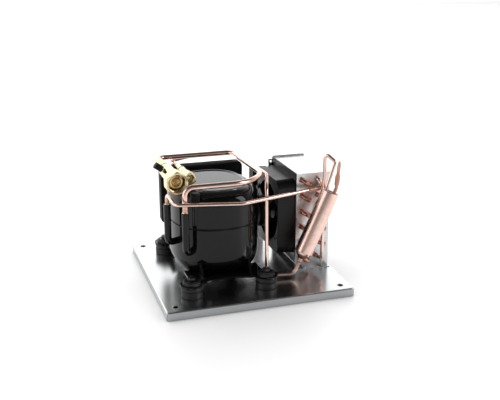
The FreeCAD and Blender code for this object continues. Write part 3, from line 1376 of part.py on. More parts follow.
def pump_parts():
    """Cylinder block with its bearing, piston, head and the four springs under the stator."""
    x = SHELL_X
    y = SHELL_Y
    base = DECK + BLOCK_LOW
    barrel_z = DECK + PISTON_Z
    top = barrel_z + BARREL_TOP
    h = BLOCK_HALF_X
    body = block(x - h, x + h, y - BLOCK_AHEAD, y + BLOCK_BEHIND, base, base + BLOCK_SHEET)
    body = body.makeFillet(BLOCK_CORNER, along(body, "Z"))
    body = body.fuse(rod(BEARING_RADIUS, Vector(x, y, base), AXIS_Z, BEARING_LENGTH))
    body = body.fuse(block(x - BARREL_HALF, x + BARREL_HALF, y - BARREL_AHEAD, y - BARREL_BEHIND, base, top))
    body = body.cut(rod(CRANK_RADIUS + FIT, Vector(x, y, base), AXIS_Z, BEARING_LENGTH))
    bore = Vector(x, y - BARREL_AHEAD, barrel_z)
    body = body.cut(rod(PISTON_RADIUS + PISTON_FIT, bore, AXIS_Y, BARREL_AHEAD - BARREL_BEHIND))
    crown = Vector(x, y - PISTON_AHEAD, barrel_z)
    piston = rod(PISTON_RADIUS, crown, AXIS_Y, PISTON_LENGTH)
    piston = piston.cut(rod(PISTON_BORE, crown + AXIS_Y * PISTON_CROWN, AXIS_Y, PISTON_LENGTH))
    front = y - BARREL_AHEAD
    head = block(x - BARREL_HALF, x + BARREL_HALF, front - HEAD_DEPTH, front, base + HEAD_LIFT, top)
    head = head.makeFillet(HEAD_CORNER, along(head, "Y"))
    floor = DECK + SHELL_BOTTOM + SHELL_WALL + SPRING_GAP
    rise = DECK + STATOR_LOW - floor
    half = SPRING_PITCH / 2
    corners = [Vector(x + sx * half, y + sy * half, floor) for sx in (-1, 1) for sy in (-1, 1)]
    springs = [ring(SPRING_RADIUS, SPRING_BORE, corner, AXIS_Z, rise) for corner in corners]
    return body, piston, head, springs


def side_panels():
    """Top and bottom sheets between the coil's end plates."""
    low = DECK + COIL_BOTTOM
    high = DECK + COIL_TOP - COIL_SHEET
    y0 = COIL_FRONT + COIL_SHEET
    return [block(COIL_LEFT, COIL_RIGHT, y0, COIL_BACK, z, z + COIL_SHEET) for z in (low, high)]


def save_all(pieces):
    """Write several nodes; a list of solids becomes one group."""
    for name, shape in pieces.items():
        save(name, group(shape) if isinstance(shape, list) else shape)


def build_base():
    """Tray, feet and their fasteners."""
    grommets, sleeves, washers, bolts, nuts = foot_hardware()
    places = coil_foot_holes() + bracket_holes()
    save_all({
        "base_plate": base_plate(),
        "foot_grommets": grommets,
        "foot_sleeves": sleeves,
        "foot_washers": washers,
        "foot_bolts": bolts,
        "foot_nuts": nuts,
        "deck_screws": [floor_screw(x, y, DECK + COIL_SHEET) for x, y in places],
    })


def build_compressor():
    """Shell with its rails, stubs and terminals, and the motor and pump in it."""
    lower, upper, weld, shell = compressor_shells()
    suction = stub_route(SUCTION_X, SUCTION_Y, DECK + SUCTION_STUB_LOW, DECK + SUCTION_STUB_TOP)
    discharge = stub_route(DISCHARGE_X, DISCHARGE_Y, DECK + DISCHARGE_STUB_LOW, DECK + DISCHARGE_STUB_TOP)
    stem, cap = process_port(shell)
    stator, rotor, shaft = motor_parts()
    body, piston, head, springs = pump_parts()
    save_all({
        "compressor_lower_shell": lower,
        "compressor_upper_shell": upper,
        "shell_seam_weld": weld,
        "foot_rails": [foot_rail(-1, shell), foot_rail(1, shell)],
        "suction_stub": stub(suction, SUCTION_STUB_BEND, shell, SUCTION_TUBE),
        "discharge_stub": stub(discharge, DISCHARGE_STUB_BEND, shell, LIQUID_TUBE),
        "process_stub": stem,
        "process_cap": cap,
        "terminal_pins": terminal_pins(shell),
        "terminal_fence": terminal_fence(shell),
        "motor_stator": stator,
        "motor_rotor": rotor,
        "crankshaft": shaft,
        "cylinder_block": body,
        "piston": piston,
        "cylinder_head": head,
        "suspension_springs": springs,
    })


def build_lines():
    """Copper lines, the coil's inlet elbow and the drier."""
    routes = {
        "suction_line": (suction_route(), SUCTION_TUBE),
        "discharge_line": (discharge_route(), LIQUID_TUBE),
        "liquid_line": (liquid_route(), LIQUID_TUBE),
        "condenser_outlet_line": (outlet_route(), LIQUID_TUBE),
    }
    save_all({name: bent_tube(points, radii, tube) for name, ((points, radii), tube) in routes.items()})
    save_all({
        "coil_inlet_elbow": inlet_elbow(),
        "drier_shell": drier(),
        "drier_core": drier_core(),
        "drier_process_tube": drier_process_tube(),
    })


def build_boxes():
    """Electrical box and control box with their fittings."""
    base, cover = electrical_box()
    screws, gland, relay = box_fittings()
    save_all({
        "electrical_box_base": base,
        "electrical_box_cover": cover,
        "box_cover_screws": screws,
        "cable_gland": gland,
        "starting_relay": relay,
    })
    base, lid, bracket = control_box()
    save_all({"control_box_base": base, "control_box_cover": lid, "control_box_bracket": bracket})


def build_condenser():
    """Finned coil, fan and shroud."""
    straight, front, rear = coil_tubes()
    housing, shaft, spider = fan_motor()
    save_all({
        "coil_tubes": straight,
        "coil_return_bends": front + rear,
        "coil_fins": fins(),
        "coil_front_plate": end_plate(COIL_FRONT, -1, DECK + COIL_TOP),
        "coil_rear_plate": rear_plate(),
        "coil_side_panels": side_panels(),
        "fan_shroud": shroud(),
        "fan_blade": fan_blade(),
        "fan_motor": housing,
        "fan_motor_shaft": shaft,
        "fan_motor_spider": spider,
    })


def build_couplings():
    """Suction and liquid couplings and the service port."""
    z = DECK + LOOP_Z
    body, nut, poppet, spring = coupling(
        COUPLING_X, z, COUPLING_FRONT, COUPLING_NUT_FLATS, COUPLING_NUT_LENGTH, COUPLING_BORE,
        COUPLING_BODY_RADIUS, COUPLING_BODY_LENGTH, COUPLING_NECK_RADIUS, COUPLING_LENGTH, SUCTION_TUBE)
    stem, cap = service_port(COUPLING_X, z, COUPLING_FRONT + PORT_AHEAD)
    save_all({
        "suction_coupling_body": body.fuse(stem),
        "suction_coupling_nut": nut,
        "suction_poppet": poppet,
        "suction_poppet_spring": spring,
        "service_port_cap": cap,
    })
    body, nut, poppet, spring = coupling(
        LIQUID_COUPLING_X, z - LIQUID_COUPLING_LOWER, LIQUID_COUPLING_FRONT, LIQUID_NUT_FLATS,
        LIQUID_NUT_LENGTH, LIQUID_BORE, LIQUID_BODY_RADIUS, LIQUID_BODY_LENGTH, LIQUID_NECK_RADIUS,
        LIQUID_LENGTH, LIQUID_TUBE)
    save_all({
        "liquid_coupling_body": body,
        "liquid_coupling_nut": nut,
        "liquid_poppet": poppet,
        "liquid_poppet_spring": spring,
    })


build_base()
build_compressor()
build_lines()
build_boxes()
build_condenser()
build_couplings()
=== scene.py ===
import logging
import math
from collections.abc import Callable, Iterable
from dataclasses import dataclass, field
from enum import Enum

import bmesh
import bpy
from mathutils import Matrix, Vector


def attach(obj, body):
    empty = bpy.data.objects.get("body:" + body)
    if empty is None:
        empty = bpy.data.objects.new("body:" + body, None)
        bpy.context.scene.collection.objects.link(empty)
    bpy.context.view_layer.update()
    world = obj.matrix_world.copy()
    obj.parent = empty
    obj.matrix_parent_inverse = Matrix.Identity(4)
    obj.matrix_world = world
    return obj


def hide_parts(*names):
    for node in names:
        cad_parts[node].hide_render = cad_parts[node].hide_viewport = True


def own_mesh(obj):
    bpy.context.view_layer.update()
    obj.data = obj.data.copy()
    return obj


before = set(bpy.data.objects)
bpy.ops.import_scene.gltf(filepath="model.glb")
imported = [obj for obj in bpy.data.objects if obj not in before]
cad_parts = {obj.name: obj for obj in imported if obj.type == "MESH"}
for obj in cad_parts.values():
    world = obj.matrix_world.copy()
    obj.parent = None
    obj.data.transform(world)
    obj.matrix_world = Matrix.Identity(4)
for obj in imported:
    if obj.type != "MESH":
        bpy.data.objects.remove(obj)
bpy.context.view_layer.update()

log = logging.getLogger("condensing_unit")

Colour = tuple[float, float, float]
Place = tuple[float, float, float]
Range = tuple[float, float]
Profile = tuple[Range, ...]
Socket = bpy.types.NodeSocket
Piece = bpy.types.Object

MM = 0.001
AXIS_X = Vector((1.0, 0.0, 0.0))
AXIS_Y = Vector((0.0, 1.0, 0.0))
AXIS_Z = Vector((0.0, 0.0, 1.0))
CORNERS = ((-1, -1), (-1, 1), (1, -1), (1, 1))
SHELL_MIDDLE: Range = (-44.0, -3.5)
MATERIALS: dict[str, bpy.types.Material] = {}


def grey(level: float) -> Colour:
    """Return a neutral colour."""
    return level, level, level


def mapped(tree: bpy.types.NodeTree, value: Socket, source: Range, target: Range) -> Socket:
    """Map a value onto a range.

    Args:
        tree: The tree that gets the node.
        value: The value.
        source: Values that give the two ends of the target.
        target: Results at those two values.

    Returns:
        The mapped value.
    """
    node = tree.nodes.new("ShaderNodeMapRange")
    tree.links.new(value, node.inputs["Value"])
    for name, number in zip(("From Min", "From Max", "To Min", "To Max"), (*source, *target)):
        node.inputs[name].default_value = number
    return node.outputs["Result"]


def linked(name: str, data: bpy.types.ID) -> Piece:
    """Put new data in the scene.

    Args:
        name: Name of the object.
        data: Its data.

    Returns:
        The new object.
    """
    made = bpy.data.objects.new(name, data)
    bpy.context.scene.collection.objects.link(made)
    return made


class Grain(Enum):
    """Direction in which a sheet was rolled, as a stretch of the noise."""

    ALONG_X = (0.03, 1.0, 1.0)
    ALONG_Z = (1.0, 1.0, 0.03)
    EVEN = (1.0, 1.0, 1.0)


@dataclass(frozen=True)
class Lumps:
    """A soft noise.

    Attributes:
        scale: Lumps per metre, roughly.
        detail: How many finer layers it has.
        grain: Direction in which it is drawn out.
    """

    scale: float
    detail: float
    grain: Grain = Grain.EVEN


class Graph:
    """Node tree of one material, with short calls for its nodes."""

    middle: Range = (0.3, 0.7)
    core: float = 0.3
    bump: float = 0.6

    def __init__(self, material: bpy.types.Material) -> None:
        """Clear the tree and add the shader.

        Args:
            material: The material that the tree belongs to.
        """
        material.use_nodes = True
        self.tree = material.node_tree
        self.tree.nodes.clear()
        self.shader = self.node("BsdfPrincipled")
        output = self.node("OutputMaterial")
        self.join(self.shader.outputs["BSDF"], output.inputs["Surface"])
        self.place = self.node("TexCoord").outputs["Object"]

    def node(self, kind: str) -> bpy.types.Node:
        """Add a shader node of the given kind and return it."""
        return self.tree.nodes.new("ShaderNode" + kind)

    def join(self, source: Socket, target: Socket) -> None:
        """Link two sockets."""
        self.tree.links.new(source, target)

    def fix(self, **values: float) -> None:
        """Set shader sockets to constant values."""
        for name, value in values.items():
            self.shader.inputs[name].default_value = value

    def drive(self, name: str, source: Socket) -> None:
        """Link a pattern to the named shader socket."""
        self.join(source, self.shader.inputs[name])

    def noise(self, lumps: Lumps) -> Socket:
        """Add a soft noise.

        Args:
            lumps: Its scale, detail and grain.

        Returns:
            Its value, about 0 to 1.
        """
        place = self.place
        if lumps.grain is not Grain.EVEN:
            stretch = self.node("VectorMath")
            stretch.operation = "MULTIPLY"
            self.join(place, stretch.inputs[0])
            stretch.inputs[1].default_value = lumps.grain.value
            place = stretch.outputs[0]
        noise = self.node("TexNoise")
        noise.inputs["Scale"].default_value = lumps.scale
        noise.inputs["Detail"].default_value = lumps.detail
        self.join(place, noise.inputs["Vector"])
        return noise.outputs[0]

    def cells(self, scale: float) -> Socket:
        """Add a cell pattern.

        Args:
            scale: Cells per metre.

        Returns:
            One random shade for each cell.
        """
        cells = self.node("TexVoronoi")
        cells.inputs["Scale"].default_value = scale
        self.join(self.place, cells.inputs["Vector"])
        return cells.outputs["Color"]

    def bands(self, scale: float, wobble: float) -> Socket:
        """Add parallel ridges across the Y direction.

        Args:
            scale: How close they lie.
            wobble: How uneven they are.

        Returns:
            Their height.
        """
        wave = self.node("TexWave")
        wave.bands_direction = "Y"
        wave.inputs["Scale"].default_value = scale
        wave.inputs["Distortion"].default_value = wobble
        self.join(self.place, wave.inputs["Vector"])
        return wave.outputs["Fac"]

    def span(self, value: Socket, target: Range = (0.0, 1.0), source: Range = middle) -> Socket:
        """Map a pattern onto a range and return the result."""
        return mapped(self.tree, value, source, target)

    def blend(self, share: Socket, first: Colour | Socket, second: Colour | Socket) -> Socket:
        """Mix two colours by a pattern.

        Args:
            share: 0 gives the first colour and 1 the second.
            first: A colour, or a socket that carries one.
            second: The other colour or socket.

        Returns:
            The mixed colour.
        """
        mix = self.node("Mix")
        mix.data_type = "RGBA"
        self.join(share, mix.inputs[0])
        for colour, socket in ((first, mix.inputs[6]), (second, mix.inputs[7])):
            if isinstance(colour, tuple):
                socket.default_value = (*colour, 1.0)
            else:
                self.join(colour, socket)
        return mix.outputs[2]

    def near(self, point: Place, reach: float) -> Socket:
        """Mark the surroundings of a point.

        Args:
            point: The point, in millimetres.
            reach: Metres at which the mark has faded out.

        Returns:
            1 at the point and 0 beyond the reach.
        """
        distance = self.node("VectorMath")
        distance.operation = "DISTANCE"
        self.join(self.place, distance.inputs[0])
        distance.inputs[1].default_value = Vector(point) * MM
        return self.span(distance.outputs["Value"], (1.0, 0.0), (self.core * reach, reach))

    def height(self) -> Socket:
        """Split the place into its parts.

        Returns:
            The height above the floor in metres.
        """
        split = self.node("SeparateXYZ")
        self.join(self.place, split.inputs[0])
        return split.outputs["Z"]

    def relief(self, height: Socket, depth: float, edge: float) -> None:
        """Raise the surface by a pattern and round its sharp edges.

        Args:
            height: The pattern.
            depth: Depth of the pattern in metres.
            edge: Radius of the rounded edges in metres.
        """
        bevel = self.node("Bevel")
        bevel.samples = 4
        bevel.inputs["Radius"].default_value = edge
        bump = self.node("Bump")
        bump.inputs["Strength"].default_value = self.bump
        bump.inputs["Distance"].default_value = depth
        self.join(height, bump.inputs["Height"])
        self.join(bevel.outputs["Normal"], bump.inputs["Normal"])
        self.drive("Normal", bump.outputs["Normal"])


@dataclass(frozen=True)
class Finish:
    """A surface that varies between two colours and two degrees of gloss, with a fine skin.

    Attributes:
        name: Name of the material.
        pale: The paler colour.
        deep: The deeper colour.
        gloss: Roughness at the two ends of the pattern.
        metallic: 1 for bare metal, 0 for the rest.
        ior: Refractive index.
        patches: The pattern.
        mottle: Pattern values between which the colour changes.
        shine: Pattern values between which the gloss changes.
        skin: The fine relief.
        depth: Depth of the skin in metres.
        edge: Radius of the rounded edges in metres.
    """

    name: str
    pale: Colour
    deep: Colour
    gloss: Range = (0.24, 0.4)
    metallic: float = 1.0
    ior: float = 1.5
    patches: Lumps = Lumps(60.0, 3.0)
    mottle: Range = Graph.middle
    shine: Range = Graph.middle
    skin: Lumps = Lumps(800.0, 2.0)
    depth: float = 0.00003
    edge: float = 0.0003

    def pattern(self, graph: Graph) -> Socket:
        """Return the pattern that the colour and the gloss follow."""
        return graph.noise(self.patches)

    def colour(self, graph: Graph, pattern: Socket) -> Socket:
        """Return the colour."""
        return graph.blend(graph.span(pattern, source=self.mottle), self.deep, self.pale)

    def relief(self, graph: Graph, pattern: Socket) -> Socket:
        """Return the height of the skin."""
        return graph.noise(self.skin)

    def draw(self, graph: Graph) -> None:
        """Set the shader and its patterns.

        Args:
            graph: The material's nodes.
        """
        pattern = self.pattern(graph)
        graph.fix(Metallic=self.metallic, IOR=self.ior)
        graph.drive("Base Color", self.colour(graph, pattern))
        graph.drive("Roughness", graph.span(pattern, self.gloss, self.shine))
        graph.relief(self.relief(graph, pattern), self.depth, self.edge)

    def material(self) -> bpy.types.Material:
        """Make the material, once for each finish.

        Returns:
            The Blender material.
        """
        if self.name not in MATERIALS:
            MATERIALS[self.name] = bpy.data.materials.new(self.name)
            self.draw(Graph(MATERIALS[self.name]))
        return MATERIALS[self.name]


@dataclass(frozen=True)
class PlatedSheet(Finish):
    """Bright zinc plate on rolled sheet, cloudy, with painted shade: the turned-down rim is
    coloured darker in place of its dark reflection.
    """

    gloss: Range = (0.19, 0.25)
    patches: Lumps = Lumps(7.0, 4.0)
    skin: Lumps = Lumps(900.0, 2.0, Grain.ALONG_X)
    depth: float = 0.000003
    edge: float = 0.0006
    painted_rim_shade: Colour = (0.40, 0.41, 0.42)
    bend: Range = (0.0128, 0.0142)

    def colour(self, graph: Graph, pattern: Socket) -> Socket:
        """Return the colour."""
        deck = graph.blend(graph.span(pattern), self.deep, self.pale)
        # Painted shade: below the bend the rim takes a darker colour that stands in for its dark
        # reflection.
        return graph.blend(graph.span(graph.height(), source=self.bend), self.painted_rim_shade, deck)


@dataclass(frozen=True)
class Enamel(Finish):
    """Stoved black paint with a soft orange-peel skin."""

    gloss: Range = (0.01, 0.04)
    metallic: float = 0.0
    ior: float = 1.36
    patches: Lumps = Lumps(35.0, 5.0)
    mottle: Range = (0.45, 0.8)
    skin: Lumps = Lumps(240.0, 2.0)
    depth: float = 0.000003
    edge: float = 0.0008


@dataclass(frozen=True)
class Moulding(Finish):
    """Moulded plastic with a fine spark-eroded grain and faint flow marks."""

    gloss: Range = (0.42, 0.58)
    metallic: float = 0.0
    ior: float = 1.32
    patches: Lumps = Lumps(22.0, 3.0)
    skin: Lumps = Lumps(1900.0, 2.0)
    edge: float = 0.0004


@dataclass(frozen=True)
class RubberCompound(Finish):
    """Moulded rubber with a pale bloom in its patches."""

    gloss: Range = (0.38, 0.6)
    metallic: float = 0.0
    ior: float = 1.52
    patches: Lumps = Lumps(90.0, 5.0)
    mottle: Range = (0.4, 0.8)
    skin: Lumps = Lumps(1300.0, 3.0)
    depth: float = 0.00005
    edge: float = 0.0005


@dataclass(frozen=True)
class DrawnCopper(Finish):
    """Bright drawn copper with faint tarnish, and heat marks beside the brazed joints."""

    gloss: Range = (0.13, 0.24)
    patches: Lumps = Lumps(45.0, 5.0)
    mottle: Range = (0.35, 0.75)
    skin: Lumps = Lumps(700.0, 3.0)
    depth: float = 0.000004
    heated: tuple[Place, ...] = ()
    scorched: Colour = (0.52, 0.30, 0.23)
    reach: float = 0.013

    def colour(self, graph: Graph, pattern: Socket) -> Socket:
        """Mark the heated places on the tarnished copper.

        Args:
            graph: The material's nodes.
            pattern: The tarnish.

        Returns:
            The colour.
        """
        colour = graph.blend(graph.span(pattern, source=self.mottle), self.pale, self.deep)
        for place in self.heated:
            colour = graph.blend(graph.near(place, self.reach), colour, self.scorched)
        return colour


@dataclass(frozen=True)
class TurnedBrass(Finish):
    """Machined brass with turning marks, and painted shade in the mouth of the larger nut."""

    gloss: Range = (0.15, 0.26)
    patches: Lumps = Lumps(70.0, 4.0)
    depth: float = 0.000004
    edge: float = 0.0004
    marks: float = 420.0
    unevenness: float = 0.6
    mouth: Place = (-117.5, -47.0, 197.0)
    reach: float = 0.017
    painted_mouth_shade: Colour = (0.58, 0.42, 0.17)

    def colour(self, graph: Graph, pattern: Socket) -> Socket:
        """Return the colour."""
        skin = graph.blend(graph.span(pattern), self.pale, self.deep)
        # Painted shade: the brass is coloured darker round the larger nut's mouth, where its bore
        # lies in shade.
        return graph.blend(graph.near(self.mouth, self.reach), skin, self.painted_mouth_shade)

    def relief(self, graph: Graph, pattern: Socket) -> Socket:
        """Return the height of the turning marks."""
        return graph.bands(self.marks, self.unevenness)


@dataclass(frozen=True)
class SpangledSheet(Finish):
    """Hot-dip galvanised sheet with its crystal pattern."""

    gloss: Range = (0.26, 0.36)
    mottle: Range = (0.2, 0.8)
    shine: Range = (0.1, 0.9)
    skin: Lumps = Lumps(400.0, 3.0)
    crystals: float = 150.0

    def pattern(self, graph: Graph) -> Socket:
        """Return the shades of the crystals."""
        return graph.cells(self.crystals)


@dataclass(frozen=True)
class RolledMetal(Finish):
    """Plain rolled or turned metal: fins, sleeves, washers and screws."""


@dataclass(frozen=True)
class Rough(Finish):
    """Cast, fused or pressed stuff with a lumpy skin."""

    gloss: Range = (0.35, 0.6)
    patches: Lumps = Lumps(500.0, 4.0)
    depth: float = 0.0002

    def relief(self, graph: Graph, pattern: Socket) -> Socket:
        """Return the height of the lumps."""
        return pattern


@dataclass(frozen=True)
class Finishes:
    """Every finish of the unit, with the places where the copper was heated."""

    zinc: Finish = PlatedSheet("plated_sheet", (0.72, 0.73, 0.74), (0.62, 0.63, 0.64))
    enamel: Finish = Enamel("stoved_enamel", grey(0.006), grey(0.003))
    rubbed: Finish = Enamel("rubbed_enamel", grey(0.02), grey(0.01), (0.1, 0.16), ior=3.0)
    satin: Finish = Enamel("satin_enamel", grey(0.006), grey(0.003), (0.26, 0.36))
    weld: Finish = Rough("painted_weld", grey(0.003), grey(0.001), (0.8, 0.95), 0.0,
                         patches=Lumps(600.0, 4.0))
    plastic: Finish = Moulding("moulded_plastic", grey(0.007), grey(0.003))
    relay: Finish = Moulding("relay_plastic", (0.05, 0.05, 0.052), (0.03, 0.03, 0.032), (0.35, 0.5))
    rubber: Finish = RubberCompound("foot_rubber", (0.030, 0.029, 0.028), grey(0.010))
    copper: Finish = DrawnCopper(
        "drawn_copper", (0.93, 0.70, 0.62), (0.84, 0.54, 0.45),
        heated=((-112.0, -85.0, 158.0), (-134.0, -44.0, 161.0), (-117.5, 94.0, 197.0),
                (-90.0, 64.0, 195.5), (91.0, -90.5, 40.0), (138.0, -90.5, 169.0),
                (137.0, -60.0, 164.0), (140.0, -60.0, 38.0)))
    drier: Finish = DrawnCopper("spun_copper", (0.92, 0.68, 0.60), (0.84, 0.55, 0.46), (0.2, 0.3),
                                heated=((91.0, -90.5, 45.0), (146.5, -90.5, 169.0)))
    bends: Finish = DrawnCopper("bend_copper", (0.66, 0.33, 0.25), (0.40, 0.15, 0.10), (0.2, 0.34))
    tarnished: Finish = DrawnCopper("tarnished_copper", (0.66, 0.40, 0.32), (0.44, 0.22, 0.16),
                                    (0.24, 0.34))
    braze: Finish = Rough("braze_metal", (0.86, 0.70, 0.52), (0.62, 0.42, 0.28), (0.25, 0.45),
                          patches=Lumps(900.0, 4.0), depth=0.0001)
    brass: Finish = TurnedBrass("turned_brass", (0.90, 0.81, 0.54), (0.72, 0.58, 0.30))
    galvanised: Finish = SpangledSheet("galvanised_sheet", (0.80, 0.80, 0.81), (0.70, 0.70, 0.71))
    aluminium: Finish = RolledMetal("fin_stock", (0.90, 0.90, 0.91), (0.80, 0.80, 0.82),
                                    skin=Lumps(800.0, 2.0, Grain.ALONG_Z))
    steel: Finish = RolledMetal("plated_steel", (0.66, 0.66, 0.65), (0.45, 0.45, 0.44))
    dark_steel: Finish = RolledMetal("blackened_steel", grey(0.10), grey(0.035))
    iron: Finish = Rough("cast_iron", (0.24, 0.23, 0.22), (0.12, 0.12, 0.115))
    desiccant: Finish = Rough("desiccant_core", (0.82, 0.78, 0.70), (0.60, 0.56, 0.50),
                              (0.8, 0.95), 0.0, patches=Lumps(900.0, 4.0))


FINISH = Finishes()


class Form:
    """Points and faces of a piece being shaped, in millimetres."""

    thread_steps: int = 28
    thread_fade: int = 10
    thread_flank: tuple[Place, ...] = (
        (-0.15, 0.0, -0.46), (0.0, 1.0, -0.1), (0.0, 1.0, 0.1), (-0.15, 0.0, 0.46))

    def __init__(self) -> None:
        """Start with nothing."""
        self.points: list[Vector] = []
        self.faces: list[tuple[int, ...]] = []

    def loft(self, rings: list[list[Vector]], looped: bool = False) -> "Form":
        """Join closed rings of equal count into a skin.

        Args:
            rings: The rings, in order.
            looped: True where the last ring joins the first, else both ends are closed.

        Returns:
            This form.
        """
        first = len(self.points)
        count = len(rings[0])
        for points in rings:
            self.points.extend(points)
        last = len(rings) if looped else len(rings) - 1
        for row in range(last):
            a = first + row * count
            b = first + (row + 1) % len(rings) * count
            for k in range(count):
                n = (k + 1) % count
                self.faces.append((a + k, a + n, b + n, b + k))
        if not looped:
            self.faces.append(tuple(first + k for k in reversed(range(count))))
            self.faces.append(tuple(first + (len(rings) - 1) * count + k for k in range(count)))
        return self

    def turn(self, profile: Iterable[Range], origin: Vector, axis: Vector, sides: int,
             radius: float = 0.0, ripple: Callable[[float, float], float] | None = None) -> "Form":
        """Spin a closed profile round an axis.

        Args:
            profile: Pairs of distance and height.
            origin: Where height 0 lies.
            axis: Direction of the height.
            sides: Steps round the axis.
            radius: Radius that the distances add to.
            ripple: Extra radius at an angle and height.

        Returns:
            This form.
        """
        turned = AXIS_Z.rotation_difference(axis)
        rings = []
        for step in range(sides):
            angle = math.tau * step / sides
            ring = []
            for out, height in profile:
                r = radius + out + (ripple(angle, height) if ripple else 0.0)
                spot = Vector((r * math.cos(angle), r * math.sin(angle), height))
                ring.append(origin + turned @ spot)
            rings.append(ring)
        return self.loft(rings, looped=True)

    def thread(self, origin: Vector, axis: Vector, radius: float, pitch: float, length: float,
               depth: float) -> "Form":
        """Add a screw thread.

        Args:
            origin: Start of the thread on its axis.
            axis: Direction of the screw.
            radius: Radius of the thread's root.
            pitch: Rise of one turn.
            length: Length of the threaded part.
            depth: Height of the ridge, negative for one inside a bore.

        Returns:
            This form.
        """
        turned = AXIS_Z.rotation_difference(axis)
        steps = int(length / pitch * self.thread_steps)
        rings = []
        for step in range(steps + 1):
            turns = step / self.thread_steps
            c, s = math.cos(math.tau * turns), math.sin(math.tau * turns)
            fade = min(1.0, step / self.thread_fade, (steps - step) / self.thread_fade)
            ring = []
            for root, crest, along in self.thread_flank:
                r = radius + depth * (root + crest * fade)
                ring.append(origin + turned @ Vector((r * c, r * s, pitch * (turns + along))))
            rings.append(ring)
        return self.loft(rings)

    def sweep(self, path: list[Vector], radius: float, sides: int, looped: bool = False) -> "Form":
        """Run a round section along a path.

        Args:
            path: Points of the centre line.
            radius: Radius of the section.
            sides: Steps round the section.
            looped: True for a closed path.

        Returns:
            This form.
        """
        rings = []
        count = len(path)
        side: Vector | None = None
        for k, point in enumerate(path):
            before = path[k - 1] if looped or k else point
            after = path[(k + 1) % count] if looped or k < count - 1 else point
            heading = (after - before).normalized()
            if side is None:
                side = heading.orthogonal()
            side = (side - heading * side.dot(heading)).normalized()
            other = heading.cross(side)
            angles = (math.tau * s / sides for s in range(sides))
            rings.append([point + (side * math.cos(a) + other * math.sin(a)) * radius
                          for a in angles])
        return self.loft(rings, looped=looped)

    def piece(self, name: str, sharp: float = 35.0) -> Piece:
        """Make the object, in metres.

        Args:
            name: Name of the piece.
            sharp: Angle in degrees above which an edge stays sharp.

        Returns:
            The new object.
        """
        mesh = bpy.data.meshes.new(name)
        mesh.from_pydata([tuple(p * MM) for p in self.points], [], self.faces)
        work = bmesh.new()
        work.from_mesh(mesh)
        bmesh.ops.recalc_face_normals(work, faces=work.faces)
        work.to_mesh(mesh)
        work.free()
        mesh.polygons.foreach_set("use_smooth", [True] * len(mesh.polygons))
        mesh.set_sharp_from_angle(angle=math.radians(sharp))
        return linked(name, mesh)


@dataclass
class SubAssembly:
    """Pieces that belong together, and the CAD nodes that they dress."""

    body: str = "unit"
    made: list[Piece] = field(default_factory=list)

    def dress(self, finish: Finish, *nodes: str) -> None:
        """Give CAD nodes a finish.

        Args:
            finish: The finish.
            nodes: Names of the nodes.
        """
        for name in nodes:
            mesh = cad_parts[name].data
            mesh.materials.clear()
            mesh.materials.append(finish.material())

    def add(self, piece: Piece, finish: Finish, slot: str, stands_for: tuple[str, ...] = (),
            body: str | None = None) -> None:
        """Finish a new piece and fix it to its body.

        Args:
            piece: The new piece, in place.
            finish: Its finish.
            slot: Name of a material slot; not used.
            stands_for: CAD nodes that it is shown instead of.
            body: The CAD body that it rides on, if not the sub-assembly's.
        """
        piece.data.materials.append(finish.material())
        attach(piece, body or self.body)
        if stands_for:
            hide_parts(*stands_for)
        self.made.append(piece)

    def build(self) -> None:
        """Make and dress everything."""
        raise NotImplementedError


@dataclass
class Tray(SubAssembly):
    """Folded base tray of plated sheet, with closed corners."""

    half: float = 165.0
    rim: float = 15.0
    corner: float = 5.0
    seam: float = 0.35
    seam_sink: float = 0.05
    seam_foot: float = 0.3
    seam_short: float = 3.2
    hole_inset: float = 19.0
    hole_radius: float = 5.0
    burr: Profile = ((0.0, -0.4), (0.7, -0.1), (0.5, 0.15), (0.0, 0.2))

    def corner_seam_shade(self) -> Piece:
        """Draw thin dark lines of painted shade where the rim's folds meet at the corners.

        Returns:
            The four lines.
        """
        form = Form()
        reach = self.half - self.corner * (1 - math.sqrt(0.5)) - self.seam_sink
        for sx, sy in CORNERS:
            foot = Vector((sx * reach, sy * reach, self.seam_foot))
            form.sweep([foot, foot + AXIS_Z * (self.rim - self.seam_short)], self.seam, sides=8)
        return form.piece("tray_corner_seams")

    def hole_rings(self) -> Piece:
        """Turn the small burrs round the four mounting holes.

        Returns:
            The four burrs.
        """
        form = Form()
        reach = self.half - self.hole_inset
        for sx, sy in CORNERS:
            place = Vector((sx * reach, sy * reach, self.rim))
            form.turn(self.burr, place, AXIS_Z, sides=40, radius=self.hole_radius)
        return form.piece("tray_hole_rings")

    def build(self) -> None:
        """Make and dress the tray."""
        self.dress(FINISH.zinc, "base_plate")
        # Painted shade: the dark lines in the rim's corner creases stand in for the shade there.
        self.add(self.corner_seam_shade(), FINISH.dark_steel, "zinc_plate")
        self.add(self.hole_rings(), FINISH.zinc, "zinc_plate")


